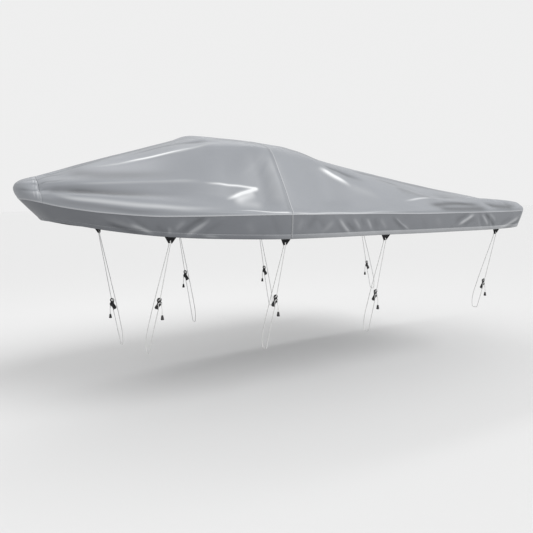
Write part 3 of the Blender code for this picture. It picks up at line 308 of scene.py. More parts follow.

# Creases of the skirt: places as position and share of the drop, width, height, radius of the
# crest, painted light (painted highlight where positive, painted shade where negative), side and the fade of each
# end
skirtCreases = (
    # pulled up and forward from the first port tab
    (((0.46, 0.54), (0.56, 0.72), (0.66, 0.9), (0.74, 0.99)), 0.020, -0.005, 0.006, -0.50, -1, 0.3, 0.3),
    (((0.62, 0.46), (0.7, 0.68), (0.79, 0.88)), 0.017, 0.0045, 0.005, 0.25, -1, 0.35, 0.35),
    (((0.46, 0.3), (0.58, 0.52), (0.7, 0.78)), 0.034, 0.004, 0.014, 0.09, -1, 0.4, 0.3),
    (((0.78, 0.4), (0.86, 0.9)), 0.034, -0.003, 0.014, -0.20, -1, 0.4, 0.2),
    (((1.18, 0.02), (1.11, 0.36), (1.05, 0.62), (0.98, 0.92)), 0.022, 0.005, 0.007, 0.24, -1, 0.5, 0.25),
    (((1.14, -0.02), (1.08, 0.18), (0.97, 0.7), (0.92, 0.92)), 0.025, -0.006, 0.007, -0.43, -1, 0.2, 0.4),
    (((1.0, 0.14), (0.95, 0.44), (0.91, 0.72)), 0.025, 0.003, 0.009, 0.10, -1, 0.4, 0.4),
    (((0.88, 0.42), (0.88, 0.94)), 0.020, 0.002, 0.007, 0.10, -1, 0.4, 0.3),
    (((1.08, 0.84), (1.16, 0.88), (1.24, 0.94)), 0.013, 0.002, 0.005, 0.16, -1, 0.4, 0.4),
    (((1.26, 0.1), (1.16, 0.5), (1.09, 0.88)), 0.038, -0.003, 0.016, -0.16, -1, 0.4, 0.4),
    (((1.42, 0.2), (1.5, 0.86)), 0.040, 0.0016, 0.014, 0.04, -1, 0.4, 0.4),
    (((1.6, 0.3), (1.7, 0.9)), 0.034, -0.0018, 0.014, -0.09, -1, 0.4, 0.4),
    # between the midship and the quarter tabs
    (((1.9, 0.12), (1.84, 0.8)), 0.029, 0.0025, 0.011, 0.06, -1, 0.4, 0.4),
    (((2.03, 0.04), (1.98, 0.34), (1.92, 0.7)), 0.038, -0.004, 0.014, -0.23, -1, 0.3, 0.4),
    (((2.2, 0.2), (2.14, 0.5), (2.07, 0.82)), 0.027, 0.003, 0.011, 0.10, -1, 0.4, 0.3),
    (((2.23, 0.14), (2.29, 0.52), (2.37, 0.86)), 0.019, 0.005, 0.006, 0.24, -1, 0.4, 0.25),
    (((2.29, 0.26), (2.35, 0.52), (2.43, 0.82)), 0.025, -0.0045, 0.007, -0.31, -1, 0.4, 0.3),
    (((2.38, 0.12), (2.43, 0.44), (2.48, 0.78)), 0.020, 0.004, 0.007, 0.15, -1, 0.4, 0.4),
    (((2.46, 0.1), (2.52, 0.66)), 0.027, -0.003, 0.011, -0.18, -1, 0.4, 0.4),
    (((2.53, 0.14), (2.56, 0.4), (2.6, 0.76)), 0.020, 0.004, 0.007, 0.16, -1, 0.4, 0.4),
    (((2.6, 0.14), (2.67, 0.7)), 0.029, -0.003, 0.011, -0.22, -1, 0.4, 0.4),
    (((2.67, 0.16), (2.77, 0.78)), 0.022, 0.003, 0.009, 0.09, -1, 0.4, 0.4),
    (((2.8, 0.1), (2.9, 0.5), (3.0, 0.86)), 0.027, -0.004, 0.009, -0.29, -1, 0.35, 0.35),
    (((2.83, 0.08), (2.93, 0.46), (3.05, 0.84)), 0.013, 0.004, 0.003, 0.22, -1, 0.35, 0.3),
    (((3.16, 0.2), (3.28, 0.8)), 0.045, -0.002, 0.016, -0.11, -1, 0.4, 0.4),
    (((3.36, 0.16), (3.44, 0.7)), 0.040, 0.002, 0.016, 0.04, -1, 0.4, 0.4),
    # rucks round the stern tab
    (((3.84, -0.02), (3.72, 0.24), (3.58, 0.56)), 0.034, -0.005, 0.011, -0.32, -1, 0.3, 0.4),
    (((3.93, 0.02), (3.81, 0.32), (3.66, 0.68)), 0.020, 0.007, 0.006, 0.37, -1, 0.35, 0.3),
    (((3.95, 0.24), (3.84, 0.52), (3.72, 0.82)), 0.025, -0.004, 0.009, -0.25, -1, 0.35, 0.35),
    (((4.01, 0.04), (4.07, 0.36), (4.14, 0.78)), 0.017, 0.0045, 0.005, 0.22, -1, 0.35, 0.3),
    (((4.05, 0.0), (4.1, 0.18), (4.17, 0.5), (4.26, 0.86)), 0.022, -0.006, 0.006, -0.52, -1, 0.25, 0.2),
    (((4.13, 0.04), (4.2, 0.3), (4.26, 0.56)), 0.020, 0.004, 0.007, 0.12, -1, 0.3, 0.4),
    (((4.3, 0.78), (4.44, 0.52), (4.6, 0.26)), 0.029, -0.003, 0.011, -0.22, -1, 0.3, 0.4),
    (((4.3, 0.99), (4.42, 0.84), (4.55, 0.62), (4.7, 0.34)), 0.022, 0.006, 0.006, 0.31, -1, 0.3, 0.3),
    (((4.36, 1.0), (4.5, 0.92), (4.64, 0.74), (4.74, 0.5)), 0.022, -0.005, 0.007, -0.45, -1, 0.25, 0.3),
    # stern and starboard side
    (((5.1, 0.22), (4.96, 0.84)), 0.036, 0.003, 0.008, 0.09, -1, 0.35, 0.3),
    (((5.52, 0.16), (5.4, 0.8)), 0.042, -0.0026, 0.008, -0.09, -1, 0.35, 0.3),
    (((1.1, 0.1), (0.88, 0.86)), 0.022, -0.0036, 0.008, -0.225, 1, 0.35, 0.3),
    (((1, 0.12), (0.85, 0.92)), 0.02, 0.0032, 0.008, 0.225, 1, 0.35, 0.3),
    (((0.58, 0.24), (0.76, 0.9)), 0.022, -0.003, 0.008, -0.15, 1, 0.35, 0.3),
    (((1.52, 0.24), (1.68, 0.9)), 0.02, 0.0022, 0.008, 0.135, 1, 0.35, 0.3),
    (((1.98, 0.16), (1.84, 0.86)), 0.02, -0.0026, 0.008, -0.15, 1, 0.35, 0.3),
    (((2.34, 0.12), (2.46, 0.72)), 0.02, 0.0026, 0.008, 0.165, 1, 0.35, 0.3),
    (((2.52, 0.14), (2.68, 0.88)), 0.02, -0.0026, 0.008, -0.15, 1, 0.35, 0.3),
    (((3.02, 0.22), (2.84, 0.9)), 0.02, 0.0026, 0.008, 0.165, 1, 0.35, 0.3),
    (((3.7, 0.16), (3.6, 0.76)), 0.022, -0.0026, 0.008, -0.15, 1, 0.35, 0.3),
    (((4.06, 0.12), (4.2, 0.84)), 0.02, 0.0038, 0.008, 0.225, 1, 0.35, 0.3),
    (((4.14, 0.1), (4.25, 0.8)), 0.02, -0.0038, 0.008, -0.225, 1, 0.35, 0.3),
    (((4.58, 0.22), (4.33, 0.86)), 0.022, 0.0036, 0.008, 0.225, 1, 0.35, 0.3),
    (((5, 0.16), (5.2, 0.8)), 0.042, 0.003, 0.008, 0.09, 1, 0.35, 0.3),
    (((5.5, 0.2), (5.34, 0.86)), 0.042, -0.003, 0.008, -0.09, 1, 0.35, 0.3),
)

# Ties: name, side (-1 port), position along the seam, half-breadth and height of the rail's
# outer lower corner, height of the tensioner's eye
ties = (
    ("bow_port", -1, 0.884, 0.255, 0.388, 0.862),
    ("midship_port", -1, 1.754, 0.680, 0.392, 0.845),
    ("quarter_port", -1, 2.763, 0.808, 0.429, 0.800),
    ("stern_port", -1, 4.286, 0.796, 0.478, 0.762),
    ("bow_starboard", 1, 0.812, 0.225, 0.386, 0.738),
    ("midship_starboard", 1, 1.754, 0.680, 0.392, 0.870),
    ("quarter_starboard", 1, 2.763, 0.808, 0.429, 0.835),
    ("stern_starboard", 1, 4.286, 0.796, 0.478, 0.790),
)


def place(station, offset, height):
    return Vector((station - cut["mountStation"], offset, height - cut["mountHeight"]))


def smoothThrough(xs, ys):
    # cubic through the points that adds no dip or bump of its own
    steps = [b - a for a, b in zip(xs, xs[1:])]
    slopes = [(b - a) / h for a, b, h in zip(ys, ys[1:], steps)]
    tangents = [slopes[0]]
    for before, after, h0, h1 in zip(slopes, slopes[1:], steps, steps[1:]):
        if before * after <= 0.0:
            tangents.append(0.0)
            continue
        w0 = 2.0 * h1 + h0
        w1 = h1 + 2.0 * h0
        tangents.append((w0 + w1) / (w0 / before + w1 / after))
    tangents.append(slopes[-1])

    def value(x):
        i = 0
        while i < len(steps) - 1 and x > xs[i + 1]:
            i += 1
        h = steps[i]
        t = min(max((x - xs[i]) / h, 0.0), 1.0)
        rise = ys[i + 1] - ys[i]
        cubic = tangents[i] * h + tangents[i + 1] * h - 2.0 * rise
        square = 3.0 * rise - 2.0 * tangents[i] * h - tangents[i + 1] * h
        return ys[i] + t * (tangents[i] * h + t * (square + t * cubic))

    return value


lastColumn = len(noseProfile) - 1
stations = [row[0] for row in topSections]
breadthCurves = [smoothThrough(stations, [row[1 + c][0] for row in topSections])
                 for c in range(lastColumn + 1)]
heightCurves = [smoothThrough(stations, [row[1 + c][1] for row in topSections])
                for c in range(lastColumn + 1)]
hemStation, hemBreadth, hemHeight = (
    smoothThrough([row[0] for row in hemRows], [row[c] for row in hemRows]) for c in (1, 2, 3))


@lru_cache(maxsize=4096)
def sectionAt(station):
    breadths = [curve(station) for curve in breadthCurves]
    heights = [curve(station) for curve in heightCurves]
    columns = list(range(-lastColumn, lastColumn + 1))
    offsets = [math.copysign(breadths[abs(c)], c) if c else 0.0 for c in columns]
    return smoothThrough(columns, offsets), smoothThrough(columns, [heights[abs(c)] for c in columns])


def foldRise(station, offset):
    total = 0.0
    for x0, y0, x1, y1, width, height in topFolds:
        alongX, alongY = x1 - x0, y1 - y0
        placeX, placeY = station - x0, offset - y0
        t = (placeX * alongX + placeY * alongY) / (alongX ** 2 + alongY ** 2)
        if not -0.3 < t < 1.3:
            continue
        aside = math.hypot(placeX - alongX * t, placeY - alongY * t)
        fade = math.sin(math.pi * (t + 0.3) / 1.6) ** 2
        total += height * fade * math.exp(-(aside / width) ** 2)
    return total


def leaned(station, column):
    near = max(1.0 - abs(station - cut["crossSeam"]) / cut["crossSeamReach"], 0.0)
    level = min(1.0, (cut["shoulder"] + lastColumn - 2.0 * abs(column)) / (lastColumn - cut["shoulder"]))
    return station + cut["crossSeamLean"] * near * level


def topPoint(station, column):
    offsetAt, heightAt = sectionAt(station)
    offset = offsetAt(column)
    return place(station, offset, heightAt(column) + foldRise(station, offset))


def capPoint(turn, column):
    angle = turn * math.pi / 2.0
    side = abs(turn) ** cut["capFlare"]
    breadths = [curve(cut["capStation"]) for curve in breadthCurves]
    heights = [curve(cut["capStation"]) for curve in heightCurves]
    columns = list(range(lastColumn + 1))
    reach = [n[0] * (1.0 - side) + b * side for n, b in zip(noseProfile, breadths)]
    level = [n[1] * (1.0 - side) + h * side for n, h in zip(noseProfile, heights)]
    distance = smoothThrough(columns, reach)(column)
    height = smoothThrough(columns, level)(column)
    station = cut["capStation"] - distance * math.cos(angle)
    offset = distance * math.sin(angle)
    return place(station, offset, height + foldRise(station, offset))


def seamPoint(position, side):
    if position < cut["capStation"]:
        turn = (position - cut["noseStart"]) / (cut["capStation"] - cut["noseStart"])
        return capPoint(side * turn, lastColumn)
    if position <= cut["stern"]:
        return topPoint(position, side * lastColumn)
    acrossStern = cut["sternHalfBreadth"] - (position - cut["stern"])
    return place(cut["stern"], side * acrossStern, topSections[-1][-1][1])


skirt = {
    "slack": 0.004,
    "casing": 0.035,           # depth of the hem casing
    "casingBulge": 0.0032,
    "stitchGroove": 0.0006,
    "aftPaintedLight": 0.10,            # painted light: the skirt's after half drawn lighter, as if lit
    # painted light: the hem casing on the after half drawn lighter still, as if lit
    "casingPaintedLight": 0.68,
}


def skirtPoint(position, drop, side, plain=False):
    seam = seamPoint(position, side)
    hem = place(hemStation(position), side * hemBreadth(position), hemHeight(position))
    ahead = seamPoint(min(position + 0.01, hemRows[-1][0]), side)
    behind = seamPoint(max(position - 0.01, hemRows[0][0]), side)
    along = ahead - behind
    outward = Vector((along.y, -along.x, 0.0)).normalized() * -side
    fold = 0.0
    for atSeam, atHem, width, height, foldSide in skirtFolds:
        if foldSide == side:
            middle = atSeam + (atHem - atSeam) * drop
            fold += height * math.exp(-((position - middle) / width) ** 2)
    hang = math.sin(math.pi * drop)
    casing = 0.003 * math.exp(-((drop - 0.91) / 0.06) ** 2)
    if not plain:
        fromHem = (1.0 - drop) * (hem - seam).length
        casing = skirt["casingBulge"] * math.sqrt(max(math.sin(math.pi * min(fromHem / skirt["casing"], 1.0)), 0.0))
        casing -= skirt["stitchGroove"] * math.exp(-((fromHem - skirt["casing"] - 0.001) / 0.0025) ** 2)
    return seam.lerp(hem, drop) + outward * ((fold + skirt["slack"]) * hang + casing)


# ---- creases, worked out on all of a panel's points at once ----

def creaseLine(places, onSurface):
    # points of a crease along the cloth, evenly through its places
    marks = [0.0]
    for before, after in zip(places, places[1:]):
        marks.append(marks[-1] + math.dist(before, after))
    curves = [smoothThrough(marks, numbers) for numbers in zip(*places)]
    count = max(8, round(marks[-1] / 0.03))
    return [onSurface(*[curve(marks[-1] * i / count) for curve in curves]) for i in range(count + 1)]


def columnAt(station, offset):
    offsetAt = sectionAt(station)[0]
    low, high = -float(lastColumn), float(lastColumn)
    for i in range(24):
        middle = (low + high) / 2.0
        if offsetAt(middle) < offset:
            low = middle
        else:
            high = middle
    return (low + high) / 2.0


def onTop(station, offset, height=None):
    # point of the top at a station and an offset; on the steep nose the height is given too
    if height is not None:
        return place(station, offset, height)
    station = min(max(station, 0.0), cut["stern"])
    if station < cut["capStation"]:
        ahead = cut["capStation"] - station
        distance = math.hypot(ahead, offset)
        turn = math.atan2(offset, max(ahead, 0.0001)) / (math.pi / 2.0)
        column = 3.0
        best = None
        for i in range(81):
            column = lastColumn * i / 80
            point = capPoint(turn, column)
            miss = math.hypot(point.x - (station - cut["mountStation"]), point.y - offset)
            if best is None or miss < best[0]:
                best = (miss, point)
        return best[1]
    return topPoint(station, columnAt(station, offset))


def creaseSums(points, creases):
    # total rise of the creases at each point, and their painted highlight and shade, with their ends fading out
    rise, paintedHighlightShade = np.zeros(len(points)), np.zeros(len(points))
    for line, width, height, crest, paintedLightAmount, fadeIn, fadeOut in creases:
        nearest = np.full(len(points), 9.0)
        reached = np.zeros(len(points))
        pieces = len(line) - 1
        for i in range(pieces):
            start = np.array(line[i])
            leg = np.array(line[i + 1]) - start
            t = np.clip((points - start) @ leg / max(leg @ leg, 1e-12), 0.0, 1.0)
            distance = np.linalg.norm(points - start - t[:, None] * leg, axis=1)
            closer = distance < nearest
            nearest = np.where(closer, distance, nearest)
            reached = np.where(closer, (i + t) / pieces, reached)
        fade = np.clip(reached / fadeIn, 0.0, 1.0) * np.clip((1.0 - reached) / fadeOut, 0.0, 1.0)
        fade = fade * fade * (3.0 - 2.0 * fade)
        rise += height * fade * np.exp(-(np.sqrt(nearest ** 2 + crest ** 2) - crest) / width)
        # painted highlight where the amount is positive, painted shade where it is negative
        paintedHighlightShade += paintedLightAmount * fade * np.exp(-(nearest / (width * 0.75)) ** 2)
    return rise, paintedHighlightShade


# ---- cloth panels ----

cloth = {
    "thickness": 0.0016,
    "paleEdge": 0.008,                                    # paler edge of a lap
    "crownSlack": 0.35,                                   # wider mesh over the crown
    "noSeam": 1.0,                                        # no seam within reach
    "hemMark": 0.2,                                       # tells the hem's stitches from a seam's
    "edgeSteps": (0.0, 0.003, 0.006, 0.010, 0.0125, 0.016, 0.022, 0.030),
    "lapWidth": 0.011,                                    # felled seam
    "lapHeight": 0.0013,
    "unevenness": 0.0016,
    "unevenSize": 0.22,
}


def spaced(length, edges, cell):
    # distances along an edge, close together beside the seams
    inner = length - 2.0 * edges[-1]
    count = max(2, round(inner / cell))
    middle = [edges[-1] + inner * i / count for i in range(1, count)]
    return list(edges) + middle + [length - e for e in reversed(edges)]


def resample(points, count, edges, crownSlack=0.0):
    # row of points along a dense row, wider apart towards its middle where there is slack
    marks = [0.0]
    for a, b in zip(points, points[1:]):
        marks.append(marks[-1] + (b - a).length)
    inner = marks[-1] - 2.0 * edges[-1]
    steps = count - 2 * len(edges) + 1
    shares = [i / steps for i in range(1, steps)]
    shares = [u - crownSlack * math.sin(2.0 * math.pi * u) / (2.0 * math.pi) for u in shares]
    wanted = list(edges) + [edges[-1] + inner * u for u in shares]
    wanted += [marks[-1] - e for e in reversed(edges)]
    row, k = [], 0
    for w in wanted:
        while k < len(marks) - 2 and marks[k + 1] < w:
            k += 1
        share = (w - marks[k]) / max(marks[k + 1] - marks[k], 1e-9)
        row.append(points[k].lerp(points[k + 1], share))
    return row, wanted, marks[-1]


def clothPanel(name, rows, flow, seamFlow, margins, creases, rise, paleLapAndPaintedLight, flip=False):
    # sheet through a grid of points; flow and seamFlow are its two sets of cloth coordinates,
    # margins the distances from its edges, where the creases die out
    down, across = len(rows), len(rows[0])
    mesh = bmesh.new()
    # painted highlight and shade of the creases, kept on each point for the material
    paintedLightAmount = mesh.verts.layers.float.new("paintedLight")
    # pale lap edges, and painted light on the skirt's after half and its casing
    paleLapAndPaintedLightLayer = mesh.verts.layers.float.new("paleLapAndPaintedLight")
    clothMap = mesh.loops.layers.uv.new("cloth")
    seamMap = mesh.loops.layers.uv.new("seam")
    bmesh.ops.create_grid(mesh, x_segments=down - 1, y_segments=across - 1, size=0.5)
    index = {}
    for vert in mesh.verts:
        i = round((vert.co.x + 0.5) * (down - 1))
        j = round((vert.co.y + 0.5) * (across - 1))
        index[vert] = (i, j)
    for face in mesh.faces:
        for loop in face.loops:
            i, j = index[loop.vert]
            loop[clothMap].uv = flow[i][j]
            loop[seamMap].uv = seamFlow[i][j]
    for vert in mesh.verts:
        i, j = index[vert]
        vert.co = rows[i][j]
    if flip:
        bmesh.ops.reverse_faces(mesh, faces=mesh.faces)
    mesh.normal_update()
    order = list(mesh.verts)
    points = np.array([v.co for v in order])
    # rise of the creases, and their painted highlight and shade
    heights, paintedHighlightShades = creaseSums(points, creases)
    for vert, height, paintedHighlightShade in zip(order, heights, paintedHighlightShades):
        vert[paintedLightAmount] = paintedHighlightShade
        vert[paleLapAndPaintedLightLayer] = paleLapAndPaintedLight(*index[vert])
        i, j = index[vert]
        uneven = noise.noise(vert.co / cloth["unevenSize"]) * cloth["unevenness"]
        fade = min(margins[i][j] / 0.04, 1.0)
        vert.co += vert.normal * (height * fade + uneven * fade + rise(i, j))
    bmesh.ops.remove_doubles(mesh, verts=mesh.verts, dist=0.00001)
    data = bpy.data.meshes.new(name)
    mesh.to_mesh(data)
    mesh.free()
    data.shade_smooth()
    panel = bpy.data.objects.new(name, data)
    bpy.context.collection.objects.link(panel)
    wall = panel.modifiers.new("cloth", "SOLIDIFY")
    wall.thickness = cloth["thickness"]
    wall.offset = -1.0
    return panel


def step(distance, width, softness):
    return 0.5 - 0.5 * math.tanh((distance - width) / (2.0 * softness))


def lap(distance):
    # felled edge: flat and raised, with a soft step down
    return step(distance, cloth["lapWidth"], 0.0007) * cloth["lapHeight"]


creasesOnTop = [(creaseLine(row[0], onTop), *row[1:]) for row in topCreases]
print("creases laid out")


def pucker(along, away):
    # small even ripples that the thread draws in beside a seam
    wander = 2.2 * math.sin(along * 9.0) + 1.3 * math.sin(along * 23.0)
    return 0.0005 * math.sin(along * 2.0 * math.pi / 0.05 + wander) * math.exp(-away / 0.018)


def makeTop(name, start, end, cell, across, sternEnd=False):
    edges = cloth["edgeSteps"]
    along = [start + s for s in spaced(end - start, edges, cell)]
    dense = [-lastColumn + 2.0 * lastColumn * i / 128 for i in range(129)]
    rows, flow, seamFlow, margins, lapped = [], [], [], [], []
    for station in along:
        points = [topPoint(leaned(station, c), c) for c in dense]
        row, marks, girth = resample(points, across, edges, cloth["crownSlack"])
        rows.append(row)
        flow.append([(station, m - girth / 2.0) for m in marks])
        # the after panel laps over the front one, and both lap over the skirts
        fromStart = station - start if start > cut["capStation"] else cloth["noSeam"]
        fromEnd = end - station if sternEnd else cloth["noSeam"]
        fromEnds = min(fromStart, fromEnd)
        fromSides = [min(m, girth - m) for m in marks]
        seamFlow.append([(station, aside) if aside <= fromEnds else (m, fromEnds)
                         for m, aside in zip(marks, fromSides)])
        fromEdges = min(fromEnd, abs(station - cut["crossSeam"]))
        margins.append([min(aside, fromEdges) for aside in fromSides])
        lapped.append([min(aside, fromEnds) for aside in fromSides])

    def rise(i, j):
        aside = seamFlow[i][j][1]
        return lap(lapped[i][j]) + pucker(along[i], aside)

    def paleLapAndPaintedLight(i, j):
        return step(lapped[i][j], cloth["paleEdge"], 0.0009)

    return clothPanel(name, rows, flow, seamFlow, margins, creasesOnTop, rise, paleLapAndPaintedLight)


def makeCap():
    edges = (0.0, 0.004, 0.009, 0.014)
    turns = 150
    down = 60
    dense = [lastColumn * i / 96 for i in range(97)]
    rows, flow, seamFlow, margins = [], [], [], []
    for k in range(turns + 1):
        turn = -1.0 + 2.0 * k / turns
        points = [capPoint(turn, c) for c in dense]
        row, marks, girth = resample(points, down, edges)
        rows.append(row)
        fromSeam = [max(cut["capStation"] - cut["mountStation"] - p.x, 0.0) for p in row]
        flow.append([(turn * 0.2, m) for m in marks])
        seamFlow.append([(turn * 0.2, girth - m) if girth - m < f else (m, f)
                         for m, f in zip(marks, fromSeam)])
        margins.append([girth - m for m in marks])

    def rise(i, j):
        girth = flow[i][-1][1]
        fromSeam = max(cut["capStation"] - cut["mountStation"] - rows[i][j].x, 0.0)
        band = 0.0012 * step(fromSeam, 0.034, 0.0012)
        return max(lap(girth - flow[i][j][1]), band)

    def paleLapAndPaintedLight(i, j):
        return step(flow[i][-1][1] - flow[i][j][1], cloth["paleEdge"], 0.0009)

    return clothPanel("noseCapCloth", rows, flow, seamFlow, margins, creasesOnTop, rise, paleLapAndPaintedLight)


def creasesOnSkirt(side):
    def onSkirt(position, drop):
        return skirtPoint(position, drop, side, plain=True)

    lines = []
    for places, width, height, crest, paintedHighlightShade, creaseSide, fadeIn, fadeOut in skirtCreases:
        if creaseSide == side:
            lines.append((creaseLine(places, onSkirt), width, height, crest, paintedHighlightShade, fadeIn, fadeOut))
    return lines


def makeSkirt(name, first, last, side):
    edges = (0.0, 0.003, 0.006, 0.010, 0.016)
    hemSteps = (0.0405, 0.037, 0.034, 0.031, 0.027, 0.022, 0.017, 0.012, 0.008, 0.004, 0.0015, 0.0)
    count = round((last - first) / 0.0095)
    rows, flow, seamFlow, margins = [], [], [], []
    for k in range(count + 1):
        position = first + (last - first) * k / count
        depth = (skirtPoint(position, 1.0, side) - seamPoint(position, side)).length
        inner = depth - edges[-1] - hemSteps[0]
        drops = [e / depth for e in edges]
        drops += [(edges[-1] + inner * i / 14) / depth for i in range(1, 14)]
        drops += [1.0 - h / depth for h in hemSteps]
        rows.append([skirtPoint(position, drop, side) for drop in drops])
        flow.append([(position, drop * depth) for drop in drops])
        fromJoint = position - first if first > 1.0 else cloth["noSeam"]
        fromHems = [(1.0 - drop) * depth for drop in drops]
        seamFlow.append([(drop * depth, fromJoint) if fromJoint < fromHem
                         else (position, cloth["hemMark"] + fromHem)
                         for drop, fromHem in zip(drops, fromHems)])
        margins.append([min(drop * depth, fromHem, position - first, last - position)
                        for drop, fromHem in zip(drops, fromHems)])

    def rise(i, j):
        return lap(flow[i][j][0] - first) if first > 1.0 else 0.0

    def paleLapAndPaintedLight(i, j):
        # painted light: the after half and, more strongly, its hem casing drawn lighter as if lit; the lap over the
        # front skirt paler
        position, down = flow[i][j]
        fromHem = flow[i][-1][1] - down
        aft = min(max((position - 1.5) / 0.8, 0.0), 1.0)
        lapped = step(position - first, cloth["paleEdge"], 0.0009) if first > 1.0 else 0.0
        casing = aft * skirt["casingPaintedLight"] * step(fromHem, skirt["casing"], 0.001)
        return max(casing, aft * skirt["aftPaintedLight"], lapped)

    return clothPanel(name, rows, flow, seamFlow, margins, creasesOnSkirt(side), rise, paleLapAndPaintedLight,
                      flip=side < 0)


panels = {
    "nose_cap": makeCap(),
    "front_top": makeTop("frontTopCloth", cut["capStation"], cut["crossSeam"], 0.0125, 318),
    "rear_top": makeTop("rearTopCloth", cut["crossSeam"], cut["stern"], 0.0155, 220, sternEnd=True),
}
print("top panels cut")
skirtJoint = cut["crossSeam"] - cut["crossSeamLean"]
for side, label in ((-1, "port"), (1, "starboard")):
    panels["front_skirt_" + label] = makeSkirt(
        "frontSkirt_" + label, cut["noseStart"], skirtJoint, side)
    panels["rear_skirt_" + label] = makeSkirt(
        "rearSkirt_" + label, skirtJoint, hemRows[-1][0], side)
print("skirts cut")

# ---- ties: tab, tensioner, rope and end stop ----

rope = {
    "diameter": 0.006,
    "bend": 0.012,
    "steps": 2,
    "straightLeg": 0.025,
    "strandLead": 0.030,
    "wrapGap": 0.0008,
    "faceGap": 0.0003,
    "cornerShare": 0.3,
    "windingStart": (0.002, -0.130),
    "eyeRoute": ((0.0, -0.006), (0.001, 0.002), (0.004, 0.0085), (0.012, 0.012), (0.030, 0.012)),
    "tailRoute": ((0.022, 0.005), (0.050, 0.010), (0.085, 0.010)),
    "ring": 0.0035,            # spacing of the tube's rings
    "sides": 14,
}
rail = {"width": 0.055, "height": 0.100, "corner": 0.014}
tab = {
    "topWidth": 0.080, "shoulderWidth": 0.030, "tipSpread": 0.018, "drop": 0.050,
    "shoulderDrop": 0.046, "notchDrop": 0.0425, "thickness": 0.003, "holeDrop": 0.030,
    "holeRadius": 0.0055, "holeSag": 0.001, "gap": 0.0009, "clothThickness": 0.002,
    "bevel": 0.0006,
}
aftTab = {"start": 2.2, "widening": 1.2}    # the tabs aft are wider at the top
plate = {
    "thickness": 0.008, "eyeRadius": 0.019, "eyeHole": 0.010, "upperPost": (0.008, -0.037),
    "upperRadius": 0.0092, "upperLobe": 0.020, "lowerPost": (-0.009, -0.068),
    "lowerRadius": 0.0075, "lowerLobe": 0.017, "waist": (-0.010, -0.031),
    "tip": (0.004, -0.092), "heel": (0.008, -0.072), "postHeight": 0.008, "bevel": 0.0014,
}
stop = {"length": 0.036, "topRadius": 0.008, "footRadius": 0.013, "edge": 0.0016}


def tieFrame(tie):
    name, side, position, railBreadth, railHeight, eyeHeight = tie
    hem = skirtPoint(position, 1.0, side, plain=True)
    down = place(position, side * railBreadth, railHeight) - hem
    down.x = 0.0
    down.normalize()
    out = Vector((0.0, -down.z, down.y)) * side
    return hem, down, out


def frameMatrix(lateral, upward, out, origin):
    columns = (lateral, upward, out, origin)
    rows = [[column[i] for column in columns] for i in range(3)]
    return Matrix(rows + [[0.0, 0.0, 0.0, 1.0]])


def tabFrame(tie):
    side, position = tie[1:3]
    hem, down, out = tieFrame(tie)
    ahead = skirtPoint(position + tab["topWidth"] / 2, 1.0, side, plain=True)
    behind = skirtPoint(position - tab["topWidth"] / 2, 1.0, side, plain=True)
    along = (ahead - behind).normalized()
    face = along.cross(down).normalized() * side
    upward = along.cross(face).normalized() * side
    origin = hem - face * (tab["clothThickness"] / 2.0) + down * tab["gap"]
    return upward.cross(face), upward, face, origin


def arc(center, radius, start, end, steps):
    points = []
    for i in range(steps + 1):
        angle = math.radians(start + (end - start) * i / steps)
        points.append((center[0] + radius * math.cos(angle), center[1] + radius * math.sin(angle)))
    return points


def winding(face):
    beside = plate["lowerRadius"] + rope["diameter"] / 2.0 + rope["wrapGap"]
    around = plate["upperRadius"] + rope["diameter"] / 2.0 + rope["wrapGap"]
    points = [(rope["windingStart"][0], rope["windingStart"][1], face),
              (plate["tip"][0], plate["tip"][1] - rope["diameter"], face),
              (plate["lowerPost"][0] + beside, plate["lowerPost"][1], face)]
    for a, b in reversed(arc(plate["upperPost"], around, 0.0, 180.0, 4)):
        points.append((a, b, face))
    return points


def tieRoute(tie):
    # rope's route from the tensioner's eye to its free end
    name, side, position, railBreadth, railHeight, eyeHeight = tie
    hem, down, out = tieFrame(tie)
    lateral = out.cross(down)
    upward, tabTop = tabFrame(tie)[1], tabFrame(tie)[3]
    turn = tabTop - upward * tab["holeDrop"] + down * (tab["holeSag"] + rope["bend"])
    eye = turn + down * ((eyeHeight - cut["mountHeight"] - turn.z) / down.z)

    route = [eye - down * rise + out * reach for rise, reach in rope["eyeRoute"]]
    route.append(turn + out * rope["bend"] + down * rope["strandLead"])
    for a, b in arc((0.0, 0.0), rope["bend"], 0.0, 180.0, 3):
        route.append(turn + out * a - down * b)
    route.append(turn - out * rope["bend"] + down * rope["strandLead"])

    outer = railBreadth + rope["diameter"] / 2.0
    inner = railBreadth - rail["width"] - rope["diameter"] / 2.0
    under = railHeight - rope["diameter"] / 2.0
    corner = rail["corner"]
    cutCorner = corner * rope["cornerShare"]
    for breadth, height in ((inner, railHeight + rail["height"]), (inner, under + corner),
                            (inner + cutCorner, under + cutCorner), (inner + corner, under),
                            (outer - corner, under), (outer - cutCorner, under + cutCorner),
                            (outer, under + corner)):
        at = place(position, side * breadth, height)
        route.append(Vector((turn.x, at.y, at.z)))

    for a, b, c in winding(plate["thickness"] / 2.0 + rope["diameter"] / 2.0 + rope["wrapGap"]):
        route.append(eye + lateral * a - down * b + out * c)
    last = route[-1]
    for drop, swing in rope["tailRoute"]:
        route.append(last + Vector((0.0, side * swing, -drop)))
    return eye, down, out, route


